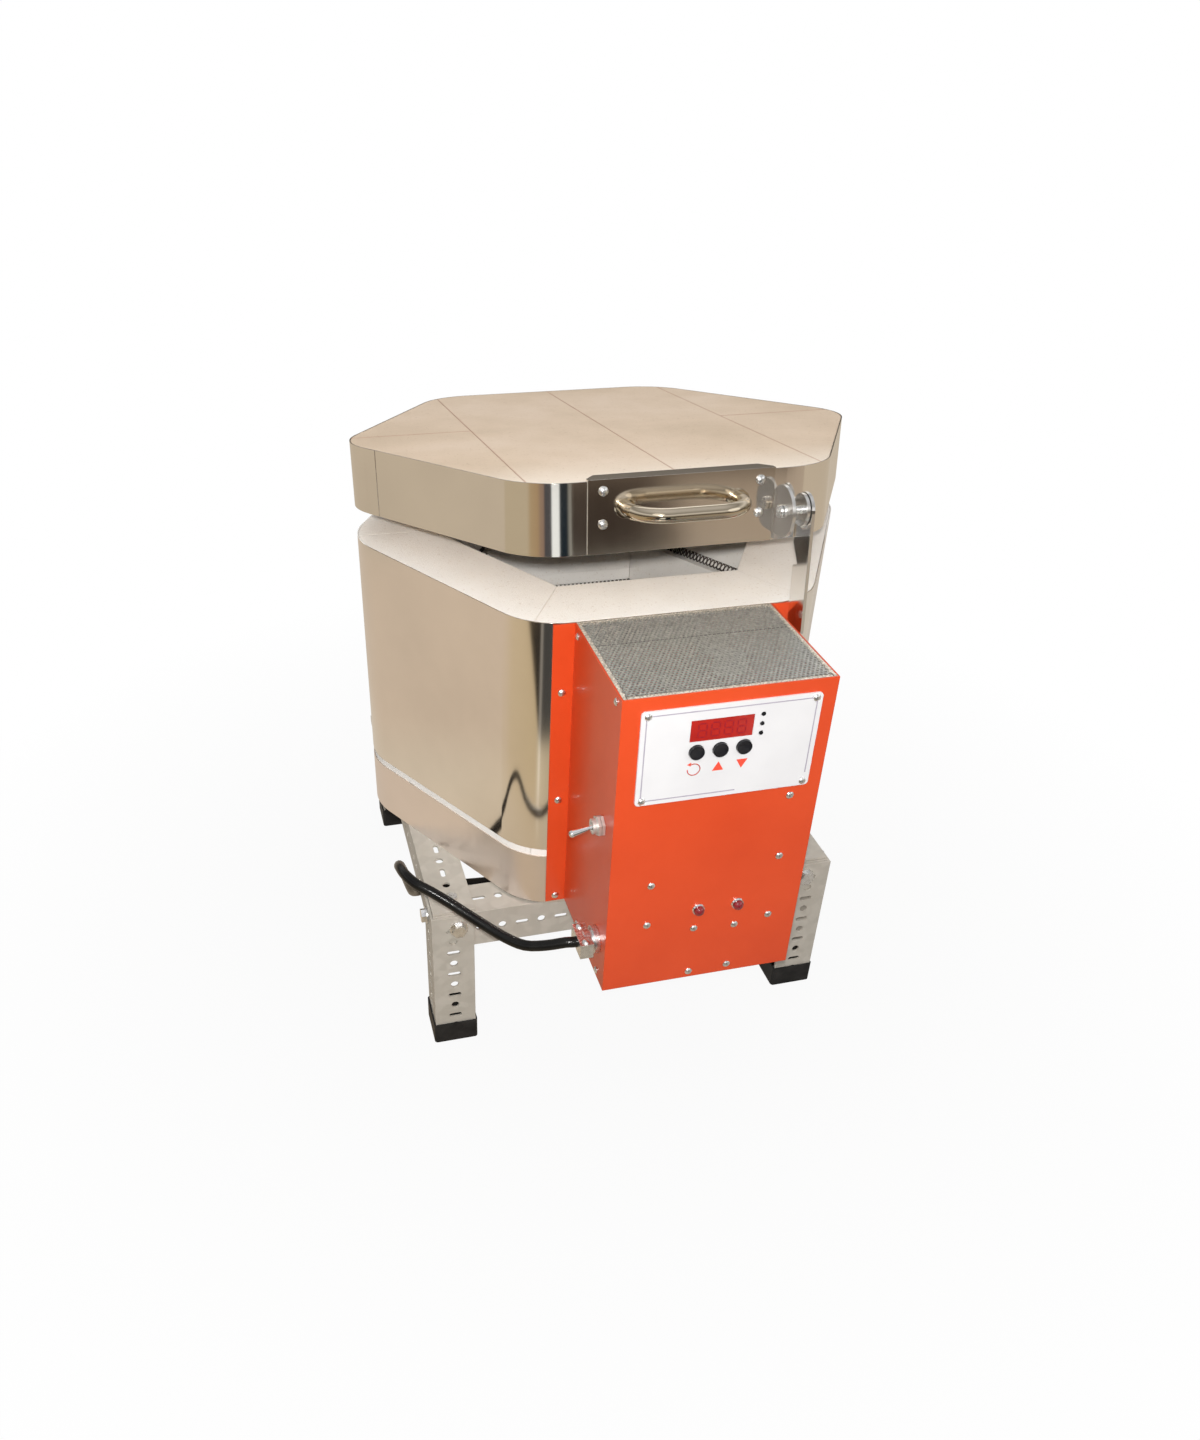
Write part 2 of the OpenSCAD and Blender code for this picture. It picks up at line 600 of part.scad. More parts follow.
module panel_screws() color("silver") at_kiln() for (p = panel_screw_at)
    translate([p[0], panel_y - seat / 2, box_z + p[1]]) facing_front() pan_screw(3.1, 2, 6);
module faceplate_screws() color("silver") at_kiln() for (p = face_screws())
    translate([p[0], panel_y - face_t - seat, p[1]]) facing_front() pan_screw(2.7, 1.8, 7);
module flange_screws() color("silver") at_kiln() for (s = [-1, 1], z = flange_screw_up)
    translate([s * (box_w / 2 + flange_w / 2 + 0.5), -flat - box_t - 1.5 * seat, box_z + z])
        facing_front() pan_screw(3.2, 2, box_t + 1.2);
module flange_screw_holes() for (s = [-1, 1], z = flange_screw_up)
    translate([s * (box_w / 2 + flange_w / 2 + 0.5), -flat + 3, box_z + z])
        facing_front() cylinder(r = 1.8, h = 6, $fn = 24);
module box_side_screws() color("silver") at_kiln() for (p = side_screw_at) {
    translate([-box_w / 2 - seat / 2, -flat - p[0], box_z + p[1]]) facing_left()
        pan_screw(3, 2, 4);
    translate([box_w / 2 + seat / 2, -flat - p[0], box_z + p[1]]) facing_right()
        pan_screw(3, 2, 4);
}

// Flange of slotted angle: round holes and slots by turns along its middle
module punched(l, w, pitch, across) difference() {
    square([l, w]);
    n = floor((l - 2 * pitch) / pitch);
    for (i = [0:n]) translate([l / 2 + (i - n / 2) * pitch, w / 2])
        if (i % 2 == 0) circle(hole_r, $fn = 24);
        else rotate(across ? 90 : 0) {
            square([slot_l - 2 * slot_r, 2 * slot_r], center = true);
            for (s = [-1, 1]) translate([s * (slot_l / 2 - slot_r), 0]) circle(slot_r, $fn = 24);
        }
}
module bolt_hole(p) translate(p) circle(bolt_r + 0.3, $fn = 32);
// Angle along +X, one flange under z = 0 and one hanging from its y = 0 edge
module angle(l, cut, start, down, pitch) {
    translate([cut, 0, -angle_t]) linear_extrude(angle_t)
        difference() {
            punched(l - 2 * cut, angle_w, pitch, false);
            for (x = [corner_in - start - cut, l - cut - corner_in + start])
                bolt_hole([x, corner_in]);
        }
    translate([0, angle_t, 0]) facing_front() linear_extrude(angle_t)
        mirror([0, 1]) difference() {
            punched(l, angle_w, pitch, false);
            for (x = [bolt_in - start, l - bolt_in + start]) bolt_hole([x, down]);
        }
}
cross_l = rail_x1 - rail_x0;
deep_l = 2 * (rail_y - angle_t - seat);
module cross_rail() translate([-cross_l / 2, -rail_y, stand_h - angle_t - seat])
    angle(cross_l, angle_t + seat, 0, bolt_down, rail_pitch);
module front_rail() color("lightgray") at_kiln() translate([-stand_left, 0, 0]) cross_rail();
module rear_rail() color("lightgray") at_kiln() translate([-stand_left, 0, 0])
    rotate(180) cross_rail();
module deep_rail() translate([-cross_l / 2, deep_l / 2, stand_h]) rotate(-90)
    angle(deep_l, 0, angle_t + seat, bolt_down + angle_t + seat, rail_pitch);
module left_rail() color("lightgray") at_kiln() translate([-stand_left, 0, 0]) deep_rail();
module right_rail() color("lightgray") at_kiln() translate([-stand_left, 0, 0])
    rotate(180) deep_rail();

// Leg drawn for the front left corner; the others are its mirror images
leg_l = leg_top - cap_base - seat;
module leg_flange() translate([0, 0, cap_base + seat]) mirror([1, 0, 0])
    rotate([90, -90, 0]) linear_extrude(angle_t) difference() {
        punched(leg_l, angle_w, leg_pitch, true);
        bolt_hole([leg_l - bolt_down - angle_t + 3 - seat, bolt_in + angle_t + seat]);
    }
module leg(sx, sy) color("lightgray") at_kiln() translate([-stand_left, 0, 0])
    mirror([sx, 0, 0]) mirror([0, sy, 0]) translate([-stand_w / 2, -stand_d / 2, 0]) {
        translate([0, angle_t, 0]) leg_flange();
        mirror([1, -1, 0]) translate([0, angle_t, 0]) leg_flange();
    }
module leg_front_left() leg(0, 0);
module leg_front_right() leg(1, 0);
module leg_rear_left() leg(0, 1);
module leg_rear_right() leg(1, 1);

module at_corners() for (sx = [0, 1], sy = [0, 1]) translate([-stand_left, 0, 0])
    mirror([sx, 0, 0]) mirror([0, sy, 0]) translate([-stand_w / 2, -stand_d / 2, 0]) children();
// Moulded cap: a square cup whose inside follows the angle
module foot_caps() color("black") at_kiln() at_corners() difference() {
    translate([angle_w / 2, angle_w / 2, 0]) linear_extrude(cap_h)
        round_rect(angle_w + 2 * cap_wall, angle_w + 2 * cap_wall, 3);
    translate([0, 0, cap_base]) linear_extrude(cap_h) difference() {
        translate([-seat, -seat]) square(angle_w + 2 * seat);
        translate([angle_t + seat, angle_t + seat]) square(angle_w - 8);
    }
}

module stand_bolts() color("silver") at_kiln() at_corners() {
    in = angle_t + seat + bolt_in;
    z = stand_h - angle_t - seat - bolt_down;
    translate([in, -0.1, z]) facing_front() hex_bolt(12);
    translate([-0.1, in, stand_h - bolt_down - angle_t - seat]) facing_left() hex_bolt(12);
    translate([angle_t + seat + corner_in, angle_t + seat + corner_in, stand_h + 0.1])
        corner_bolt();
}
module corner_bolt() {
    translate([0, 0, -10]) cylinder(r = 2.4, h = 11, $fn = 24);
    cylinder(r = 4.4, h = 2.6, $fn = 32);
    translate([0, 0, -2 * angle_t - seat - 3.3]) cylinder(r = 4.4, h = 3, $fn = 6);
}

module lid_bricks() color("wheat") at_lid() slab_bricks(lid_h - seat);
// Band closed by an overlap near the left corner
module lid_band() color("silver") at_lid() {
    shell(flat, sheet, lid_h);
    rotate(30) translate([-flat - sheet / 2, side / 2 - corner_r * tan(30) - 16, 0])
        cube([sheet, 14, lid_h]);
}
// Stainless plate over the band, with a lip folded onto the lid
plate_t = 0.9;
module handle_plate() color("silver") at_lid() {
    translate([0, -flat - seat, 0]) facing_front() linear_extrude(plate_t) difference() {
        translate([-plate_w / 2, 0]) square([plate_w, lid_h + plate_t + seat]);
        for (p = rivet_at()) translate(p) circle(2, $fn = 24);
        for (s = [-1, 1]) translate([s * handle_span / 2, handle_z]) circle(2.4, $fn = 24);
    }
    translate([0, 0, lid_h + seat]) linear_extrude(plate_t)
        polygon([[-plate_w / 2, -flat - seat], [plate_w / 2, -flat - seat],
            [plate_w / 2, -flat + 4], [plate_w / 2 - 8, -flat + 14],
            [-plate_w / 2 + 8, -flat + 14], [-plate_w / 2, -flat + 4]]);
}
function rivet_at() = [for (s = [-1, 1], z = [22, 46]) [s * 60.5, z]];
module handle_rivets() color("gainsboro") at_lid() for (p = rivet_at())
    translate([p[0], -flat - plate_t - 1.5 * seat, p[1]]) facing_front()
        pan_screw(3.6, 2.2, plate_t + seat);
// Round-bar pull: two posts, two bends and a straight grip
module handle() color("silver") at_lid()
    translate([0, -flat - plate_t - 1.5 * seat, handle_z]) facing_front() {
        grip = handle_span - 2 * handle_bend;
        for (s = [-1, 1]) translate([s * handle_span / 2, 0, 0]) {
            cylinder(r = handle_d / 2, h = handle_out - handle_bend, $fn = 48);
            cylinder(r = handle_d / 2 + 2, h = 2, $fn = 48);
        }
        translate([0, 0, handle_out - handle_bend]) for (m = [0, 1]) mirror([m, 0, 0])
            translate([grip / 2, 0, 0]) rotate([90, 0, 0]) rotate_extrude(angle = 90, $fn = 96)
                translate([handle_bend, 0]) circle(handle_d / 2, $fn = 48);
        translate([-grip / 2, 0, handle_out]) rotate([0, 90, 0])
            cylinder(r = handle_d / 2, h = grip, $fn = 48);
    }

// Catch bracket: foot screwed to the band and two rounded ears
module ear(r) linear_extrude(catch_t) difference() {
    union() {
        circle(r, $fn = 64);
        translate([0, -r]) square([-catch_y - flat - seat, 2 * r - 6]);
    }
    translate([-catch_y - flat - seat, -2 * r]) square([r * 2, r * 4]);
    circle(catch_pin_r + run_fit, $fn = 48);
}
module catch_bracket() color("silver") at_lid() {
    translate([catch_x, catch_y, catch_z]) rotate([90, 0, 90]) ear(ear_r);
    translate([arm_x - catch_t - 0.6, catch_y, catch_z]) rotate([90, 0, 90]) ear(arm_r - 1);
    translate([catch_x + 1, -flat - seat - catch_t, 1]) difference() {
        cube([arm_x - catch_x - 2, catch_t, 23]);
        for (x = [9]) translate([x, 4, 9]) facing_front() cylinder(r = 2, h = 6, $fn = 24);
    }
}
module catch_screws() color("silver") at_lid()
    translate([catch_x + 10, -flat - catch_t - 1.5 * seat, 10]) facing_front()
        pan_screw(4, 2.4, catch_t + seat);
module catch_pin() color("silver") at_lid() translate([catch_x - 1.5, catch_y, catch_z])
    facing_right() {
        cylinder(r = catch_pin_r, h = arm_x - catch_x + catch_t + 2.3, $fn = 48);
        translate([0, 0, -1]) cylinder(r = catch_pin_r + 1.6, h = 2.2, $fn = 48);
        translate([0, 0, arm_x - catch_x + catch_t + 1.9])
            cylinder(r = catch_pin_r + 1.6, h = 1.6, $fn = 48);
    }
module catch_arm() color("silver") at_lid() translate([arm_x, catch_y, catch_z])
    rotate([90, 0, 90]) difference() {
        union() {
            cylinder(r = arm_r, h = catch_t, $fn = 64);
            linear_extrude(catch_t) polygon([[-arm_r + 0.8, 4], [arm_r - 1.4, 4],
                [arm_r - 1.4, -20], [5, 14 - catch_l], [6, 9 - catch_l], [12, 8 - catch_l],
                [11, 4 - catch_l], [2, -catch_l], [-6, 5 - catch_l], [-11, -22]]);
        }
        translate([0, 0, -1]) cylinder(r = catch_pin_r + run_fit, h = 9, $fn = 48);
    }

// Hinge leaves share five knuckles: three on the jacket, two on the lid
module knuckle_row(odd) for (i = [0:knuckles - 1]) if ((i % 2 == 1) == odd)
    translate([-hinge_l / 2 + i * knuckle_l + knuckle_gap / 2, 0, 0]) children();
knuckle_w = knuckle_l - knuckle_gap;
module leaf(odd) difference() {
    union() {
        translate([-hinge_l / 2, flat + seat - hinge_y, knuckle_r + knuckle_gap])
            cube([hinge_l, leaf_t, leaf_h - knuckle_r]);
        knuckle_row(odd) {
            facing_right() cylinder(r = knuckle_r, h = knuckle_w, $fn = 48);
            translate([0, flat + seat - hinge_y, 0.5])
                cube([knuckle_w, leaf_t, knuckle_r + knuckle_gap]);
        }
    }
    translate([-hinge_l, 0, 0]) facing_right()
        cylinder(r = hinge_pin_r + run_fit, h = 2 * hinge_l, $fn = 48);
    for (i = [0:leaf_screws - 1]) translate([leaf_screw_x(i), 1, leaf_h / 2 + knuckle_r])
        facing_front() cylinder(r = leaf_screw_r / 2 + 0.2, h = 20, $fn = 24);
}
function leaf_screw_x(i) = (i - (leaf_screws - 1) / 2) * (hinge_l - 20) / (leaf_screws - 1);
module hinge_body_leaf() color("silver") at_kiln() translate([0, hinge_y, hinge_z])
    mirror([0, 0, 1]) leaf(false);
module hinge_lid_leaf() color("silver") at_lid() translate([0, hinge_y, -lid_gap / 2])
    leaf(true);
module hinge_pin() color("silver") at_kiln() translate([-hinge_l / 2 - 2, hinge_y, hinge_z])
    facing_right() {
        cylinder(r = hinge_pin_r, h = hinge_l + 4, $fn = 48);
        translate([0, 0, 0]) cylinder(r = hinge_pin_r + 1, h = 1.6, $fn = 48);
        translate([0, 0, hinge_l + 2.4]) cylinder(r = hinge_pin_r + 1, h = 1.6, $fn = 48);
    }
module leaf_screw_row() for (i = [0:leaf_screws - 1])
    translate([leaf_screw_x(i), flat + seat + leaf_t + 0.1, 0]) rotate([-90, 0, 0])
        pan_screw(leaf_screw_r, leaf_screw_h - 0.1, leaf_t + seat);
module hinge_body_screws() color("silver") at_kiln()
    translate([0, 0, hinge_z - leaf_h / 2 - knuckle_r]) leaf_screw_row();
module hinge_lid_screws() color("silver") at_lid()
    translate([0, 0, leaf_h / 2 + knuckle_r - lid_gap / 2]) leaf_screw_row();

// Cord route: straight out of the clamp, then a smooth curve through the chosen points
coil_n = 24;
function coil_spot(a, r, z) = [coil_mid[0] + r * cos(a), coil_mid[1] + r * sin(a), z];
coil_start = coil_spot(180, coil_r0, coil_z);
cord_points = concat([cord_start, [cord_start[0] - 10, cord_start[1], cord_start[2]]], cord_route,
    [coil_start - [0, 22, 0], coil_start - [0, 1 + 2 * seat, 0]]);
function curve(p, i, t) = let (a = p[max(i - 1, 0)], b = p[i], c = p[i + 1],
    d = p[min(i + 2, len(p) - 1)]) 0.5 * (2 * b + (c - a) * t + (2 * a - 5 * b + 4 * c - d) * t * t
    + (3 * b - a - 3 * c + d) * t * t * t);
function smooth(p, n) = [for (i = [0:len(p) - 2], k = [0:n - 1]) curve(p, i, k / n), p[len(p) - 1]];
cord_line = smooth(cord_points, 2);
module power_cord() color("black") tube(cord_line, cord_r, 8, [0, 0, 1]);

// Coil: inward on the floor, up in half a turn, outward on top, then off to the plug
inward = [for (k = [0:coil_n * turns_in]) coil_spot(180 - 360 * k / coil_n,
    coil_r0 - coil_step * k / coil_n, coil_z)];
climb = [for (k = [1:coil_n / 2]) coil_spot(180 - 360 * turns_in - 360 * k / coil_n,
    coil_r0 - coil_step * turns_in, coil_z + coil_step * (1 - cos(360 * k / coil_n)) / 2)];
outward = [for (k = [1:coil_n * turns_out]) coil_spot(
    180 - 360 * (turns_in + 0.5) - 360 * k / coil_n,
    coil_r0 - coil_step * (turns_in - k / coil_n), coil_z + coil_step)];
coil_end = outward[len(outward) - 1];
plug_z = plug_r + 0.3;
lead = [for (k = [1:4]) let (t = k / 4) coil_end
    + [-14 * t * t, 44 * t, (plug_z - coil_end[2]) * t * t * (3 - 2 * t)]];
lead_way = unit([-28, 44, 0]);
coil_line = concat([coil_start - [0, 1, 0]], inward, climb, outward, lead, [lead[3] + 10 * lead_way]);
cord_end = coil_line[len(coil_line) - 1];
module cord_coil() color("black") tube(coil_line, cord_r, 6, [0, 0, 1]);
// The coil's least gap to itself, leaving out neighbours along the cord
coil_gap = min([for (i = [0:len(coil_line) - 1], j = [0:len(coil_line) - 1]) if (j > i + 5)
    norm(coil_line[i] - coil_line[j]) - cord_d]);
echo(coil_gap = coil_gap, cord_l = add(stretch(cord_line)) + add(stretch(coil_line)));
element_gap = min([for (i = [0:3:len(element_points) - 1], j = [0:3:len(element_points) - 1])
    if (j > i + 5) norm(element_points[i] - element_points[j]) - 2 * wire_r]);
echo(element_gap = element_gap, element_curls = curl_count);

// Strap round both layers of the coil, on the side nearest the kiln
module cord_tie() color("black") {
    r = coil_r0 - 0.75 * coil_step;
    translate([coil_mid[0] - 4, coil_mid[1] - r, coil_z + coil_step / 2]) rotate([90, 0, 90])
        linear_extrude(8) difference() {
            round_rect(cord_d + 2.6, cord_d + coil_step + 2.6, 5);
            round_rect(cord_d + 0.6, cord_d + coil_step + 0.6, 4);
        }
}

// Moulded plug with two flat blades and a round earth pin
module at_plug() translate(cord_end) rotate([0, 0, atan2(28, 44)]) rotate([-90, 0, 0])
    children();
module plug() color("black") at_plug() difference() {
    rotate_extrude($fn = 64) polygon([[0, -12], [cord_r + 1.2, -12], [cord_r + 1.8, -10],
        [cord_r + 1.2, -8], [cord_r + 1.8, -6], [cord_r + 1.2, -4], [cord_r + 2.4, -1],
        [plug_r - 4, 5], [plug_r - 3, 18], [plug_r - 1, 22], [plug_r, 24], [plug_r, 33],
        [plug_r - 1, 34], [0, 34]]);
    translate([0, 0, -20]) cylinder(r = cord_r + 0.4, h = 26, $fn = 48);
}
module plug_blades() color("gold") at_plug() {
    for (s = [-1, 1]) translate([s * 6.35 - 0.75, -2 - 3.2, 34.1]) cube([1.5, 6.4, 17]);
    translate([0, 8, 34.1]) cylinder(r = 2.4, h = 20, $fn = 32);
}

wall_bricks();
jacket();
floor_slab();
base_tray();
heating_element();
terminal_sleeves();
terminal_pins();
thermocouple();
control_box();
grille_top();
faceplate();
display_window();
led_lamps();
key_start();
key_up();
key_down();
pilot_bezels();
pilot_lenses();
toggle_body();
toggle_nuts();
toggle_lever();
cord_clamp();
power_relay();
controller_board();
terminal_block();
panel_screws();
faceplate_screws();
flange_screws();
box_side_screws();
front_rail();
rear_rail();
left_rail();
right_rail();
leg_front_left();
leg_front_right();
leg_rear_left();
leg_rear_right();
foot_caps();
stand_bolts();
lid_bricks();
lid_band();
handle_plate();
handle();
handle_rivets();
catch_bracket();
catch_screws();
catch_pin();
catch_arm();
hinge_body_leaf();
hinge_lid_leaf();
hinge_pin();
hinge_body_screws();
hinge_lid_screws();
power_cord();
cord_coil();
cord_tie();
plug();
plug_blades();
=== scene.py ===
import math
import bmesh
import bpy
from mathutils import Matrix, Vector


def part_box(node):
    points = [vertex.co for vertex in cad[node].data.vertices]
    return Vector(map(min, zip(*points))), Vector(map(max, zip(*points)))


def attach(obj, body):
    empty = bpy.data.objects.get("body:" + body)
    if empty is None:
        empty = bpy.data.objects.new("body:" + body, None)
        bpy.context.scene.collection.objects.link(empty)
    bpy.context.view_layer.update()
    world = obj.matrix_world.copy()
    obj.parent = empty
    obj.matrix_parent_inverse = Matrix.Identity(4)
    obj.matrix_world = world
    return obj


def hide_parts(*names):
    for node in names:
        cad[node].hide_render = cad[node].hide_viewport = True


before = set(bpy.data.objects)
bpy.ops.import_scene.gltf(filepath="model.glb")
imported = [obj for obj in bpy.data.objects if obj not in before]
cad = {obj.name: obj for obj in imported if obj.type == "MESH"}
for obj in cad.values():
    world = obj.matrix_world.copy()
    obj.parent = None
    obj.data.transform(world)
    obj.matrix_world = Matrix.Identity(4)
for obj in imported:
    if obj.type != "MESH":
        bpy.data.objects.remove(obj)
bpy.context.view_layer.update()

# Camera: held in front of the kiln, a little to its left and well above the lid, looking down.
# The picture was taken by hand, so it leans slightly, and the kiln sits low in the frame.
photo_w, photo_h, focal_px = 1200, 1440, 1157.5
centre_px = (536.8, 804.0)
lens_place, sensor_mm, view_end = Vector((-0.3062, -0.8979, 0.8251)), 36, 20
azimuth, elevation, lean = (math.radians(a) for a in (-14.726, 35.546, 1.225))
back = Vector((math.sin(azimuth) * math.cos(elevation),
               -math.cos(azimuth) * math.cos(elevation), math.sin(elevation)))
level_right = Vector((math.cos(azimuth), math.sin(azimuth), 0))
level_up = back.cross(level_right)


def placed(name, data):
    """A new object in the scene."""
    item = bpy.data.objects.new(name, data)
    bpy.context.scene.collection.objects.link(item)
    return item


camera = placed("camera", bpy.data.cameras.new("camera"))
camera.matrix_world = Matrix.Translation(lens_place) @ Matrix((
    level_right * math.cos(lean) + level_up * math.sin(lean),
    level_up * math.cos(lean) - level_right * math.sin(lean), back)).transposed().to_4x4()
camera.data.sensor_width = sensor_mm
camera.data.lens = sensor_mm * focal_px / photo_h
camera.data.shift_x = (photo_w / 2 - centre_px[0]) / photo_h
camera.data.shift_y = (centre_px[1] - photo_h / 2) / photo_h
camera.data.clip_end = view_end
bpy.context.scene.camera = camera
bpy.context.scene.view_settings.view_transform = "Standard"


class Wire:
    """One output in a node tree. Sums on it add Math nodes to that tree."""

    def __init__(self, tree, socket):
        self.tree, self.socket = tree, socket

    def maths(self, operation, *others):
        return put(self.tree, "ShaderNodeMath", {"operation": operation}, (self, *others))

    def __add__(self, other):
        return self.maths("ADD", other)

    def __sub__(self, other):
        return self.maths("SUBTRACT", other)

    def __rsub__(self, other):
        return self * -1 + other

    def __mul__(self, other):
        return self.maths("MULTIPLY", other)

    def __gt__(self, other):
        return self.maths("GREATER_THAN", other)

    def __lt__(self, other):
        return self.maths("LESS_THAN", other)

    def __abs__(self):
        return self.maths("ABSOLUTE")

    __radd__, __rmul__ = __add__, __mul__

    def axis(self, letter):
        """The X, Y or Z of a place or direction."""
        return put(self.tree, "ShaderNodeSeparateXYZ", {}, [self], output=letter)

    def scaled(self, start, end, low=0.0, high=1.0, way="LINEAR"):
        """low at start and below, high at end and above, and even between them."""
        return put(self.tree, "ShaderNodeMapRange", {"interpolation_type": way},
                   [self, start, end, low, high])

    def eased(self, start, end):
        """0 at start, 1 at end, with soft ends."""
        return self.scaled(start, end, way="SMOOTHSTEP")

    def ramp(self, *stops):
        """A colour for each value: each stop is a place and its colour."""
        return put(self.tree, "ShaderNodeValToRGB", {"stops": stops}, [self], output="Color")

    def blend(self, a, b):
        """Colour a where this is 0, colour b where it is 1."""
        a, b = ((*c, 1) if isinstance(c, tuple) else c for c in (a, b))
        return put(self.tree, "ShaderNodeMix", {"data_type": "RGBA"}, {0: self, 6: a, 7: b},
                   output=2)


def put(tree, kind, settings=None, values=(), output=0):
    """Adds one node: its settings first, then values or wires for its inputs."""
    node = tree.nodes.new(kind)
    for name, value in (settings or {}).items():
        if name == "stops":
            ramp = node.color_ramp
            while len(ramp.elements) < len(value):
                ramp.elements.new(1)
            for element, (place, colour) in zip(ramp.elements, value):
                element.position, element.color = place, (*colour, 1)
        else:
            setattr(node, name, value)
    for key, value in values.items() if isinstance(values, dict) else enumerate(values):
        if isinstance(value, Wire):
            tree.links.new(value.socket, node.inputs[key])
        else:
            node.inputs[key].default_value = value
    return Wire(tree, node.outputs[output] if len(node.outputs) else None)


# Light and floor: a studio that the camera sees as plain white. Polished steel shows mostly
# what it mirrors, so mirror rays alone find warm and dark tones there, set by heading from the
# kiln and by distance. They never meet the white that the camera sees.
kiln_y = 0.0585
world = bpy.data.worlds.new("studio")
bpy.context.scene.world = world
world.use_nodes = True
sky = world.node_tree
sky.nodes.clear()
height = put(sky, "ShaderNodeTexCoord", output="Generated").axis("Z") * 0.5 + 0.5
mirror_sky = height.ramp(
    (0.0, (0.50, 0.42, 0.33)), (0.49, (0.30, 0.25, 0.20)), (0.52, (0.05, 0.04, 0.03)),
    (0.60, (0.45, 0.42, 0.38)), (0.70, (0.95, 0.95, 0.95)), (0.82, (0.35, 0.34, 0.33)),
    (1.0, (0.75, 0.75, 0.77)))
above = height.ramp((0.0, (0.22, 0.22, 0.22)), (0.5, (0.42, 0.42, 0.43)), (1.0, (0.80, 0.80, 0.80)))
plain = put(sky, "ShaderNodeLightPath", output="Is Camera Ray").blend(above, (1, 1, 1))
seen = put(sky, "ShaderNodeLightPath", output="Is Glossy Ray").blend(plain, mirror_sky)
ambient = put(sky, "ShaderNodeBackground", {}, {"Color": seen, "Strength": 1.0})
put(sky, "ShaderNodeOutputWorld", {}, {"Surface": ambient})


def lamp(name, place, target, size, watts, colour=(1, 1, 1)):
    """A round lamp that faces its target."""
    data = bpy.data.lights.new(name, "AREA")
    data.shape, data.size, data.energy, data.color = "DISK", size, watts, colour
    item = placed(name, data)
    item.location = place
    item.rotation_mode = "QUATERNION"
    item.rotation_quaternion = (Vector(target) - Vector(place)).to_track_quat("-Z", "Y")


kiln_middle = (0, 0, 0.3)
lamp("flash", lens_place + Vector((0, 0, 0.03)), (0, 0, 0.35), 0.03, 8.8, (1.0, 0.98, 0.96))
lamp("key", (-0.9, -1.7, 1.9), kiln_middle, 1.2, 3, (1.0, 0.97, 0.93))
lamp("fill", (1.6, -1.2, 1.2), kiln_middle, 1.4, 3)
lamp("rim", (0.4, 1.9, 1.8), kiln_middle, 1.4, 4)

bpy.ops.mesh.primitive_plane_add(size=200, location=(0, 0, -0.0002))
floor = bpy.context.object
floor.name = "floor"
paint = bpy.data.materials.new("floor")
paint.use_nodes = True
tree = paint.node_tree
tree.nodes.clear()
spot = put(tree, "ShaderNodeNewGeometry", output="Position")
spot = put(tree, "ShaderNodeVectorMath", {"operation": "SUBTRACT"}, [spot, (0, kiln_y, 0)])
reach = put(tree, "ShaderNodeVectorMath", {"operation": "LENGTH"}, [spot], output="Value")
turn = spot.axis("Y").maths("ARCTAN2", spot.axis("X")) * (0.5 / math.pi) + 0.5
blotch = put(tree, "ShaderNodeTexNoise", {}, {"Vector": spot, "Scale": 3.0, "Detail": 3.0})

# What the kiln's parts mirror, from the foot up: foot, jacket, lid and the handle's plate. Each
# is a ring of the floor, and the jacket's ring has a dark wedge in it.
foot_ring, lid_ring, plate_ring, far_ring = (0.48, 0.66), (1.10, 1.25), (2.9, 3.3), (6.0, 8.0)
foot_seen = turn.ramp(
    (0.00, (0.66, 0.56, 0.44)), (0.05, (0.60, 0.49, 0.36)), (0.16, (0.54, 0.43, 0.30)),
    (0.22, (0.50, 0.43, 0.34)), (0.30, (0.42, 0.38, 0.33)), (0.40, (0.55, 0.50, 0.44)),
    (0.60, (0.62, 0.58, 0.53)), (1.00, (0.66, 0.56, 0.44)))
jacket_tones = turn.ramp(
    (0.00, (0.62, 0.50, 0.39)), (0.05, (0.58, 0.46, 0.31)), (0.15, (0.55, 0.43, 0.27)),
    (0.158, (0.60, 0.50, 0.36)), (0.163, (0.90, 0.82, 0.68)), (0.168, (0.60, 0.50, 0.36)),
    (0.20, (0.50, 0.41, 0.28)), (0.30, (0.36, 0.33, 0.29)), (0.45, (0.60, 0.56, 0.50)),
    (1.00, (0.62, 0.50, 0.39)))
wedge_tones = turn.ramp(
    (0.00, (0.035, 0.027, 0.02)), (0.156, (0.03, 0.025, 0.02)), (0.163, (0.34, 0.31, 0.27)),
    (0.170, (0.06, 0.057, 0.053)), (0.30, (0.07, 0.067, 0.063)))
wedge_slant, wedge_far, wedge_near, wedge_side = 7.1, (1.88, 1.96), (0.70, 0.75), 0.3
wedge = (reach + turn * wedge_slant + blotch * 0.1).eased(*wedge_far) * reach.eased(*wedge_near)
jacket_seen = (wedge * (turn < wedge_side)).blend(jacket_tones, wedge_tones)
lid_start, lid_spread = 0.08, 4.0
lid_seen = ((turn - lid_start) * lid_spread).ramp(
    (0.0, (0.50, 0.42, 0.30)), (0.08, (0.50, 0.42, 0.30)), (0.14, (0.43, 0.32, 0.19)),
    (0.25, (0.40, 0.28, 0.16)), (0.30, (0.30, 0.21, 0.15)), (0.345, (0.28, 0.19, 0.14)),
    (0.368, (0.075, 0.072, 0.078)), (0.465, (0.075, 0.072, 0.078)), (0.482, (0.92, 0.96, 0.97)),
    (0.592, (0.92, 0.96, 0.97)), (0.608, (0.010, 0.018, 0.026)), (0.725, (0.012, 0.020, 0.028)),
    (0.750, (0.36, 0.35, 0.31)), (0.800, (0.36, 0.35, 0.31)), (0.825, (0.17, 0.155, 0.135)),
    (0.850, (0.36, 0.34, 0.30)), (0.92, (0.42, 0.38, 0.32)), (1.0, (0.55, 0.47, 0.37)))
plate_start, plate_spread, plate_turns = 0.28, 20.0, (0.27, 0.40)
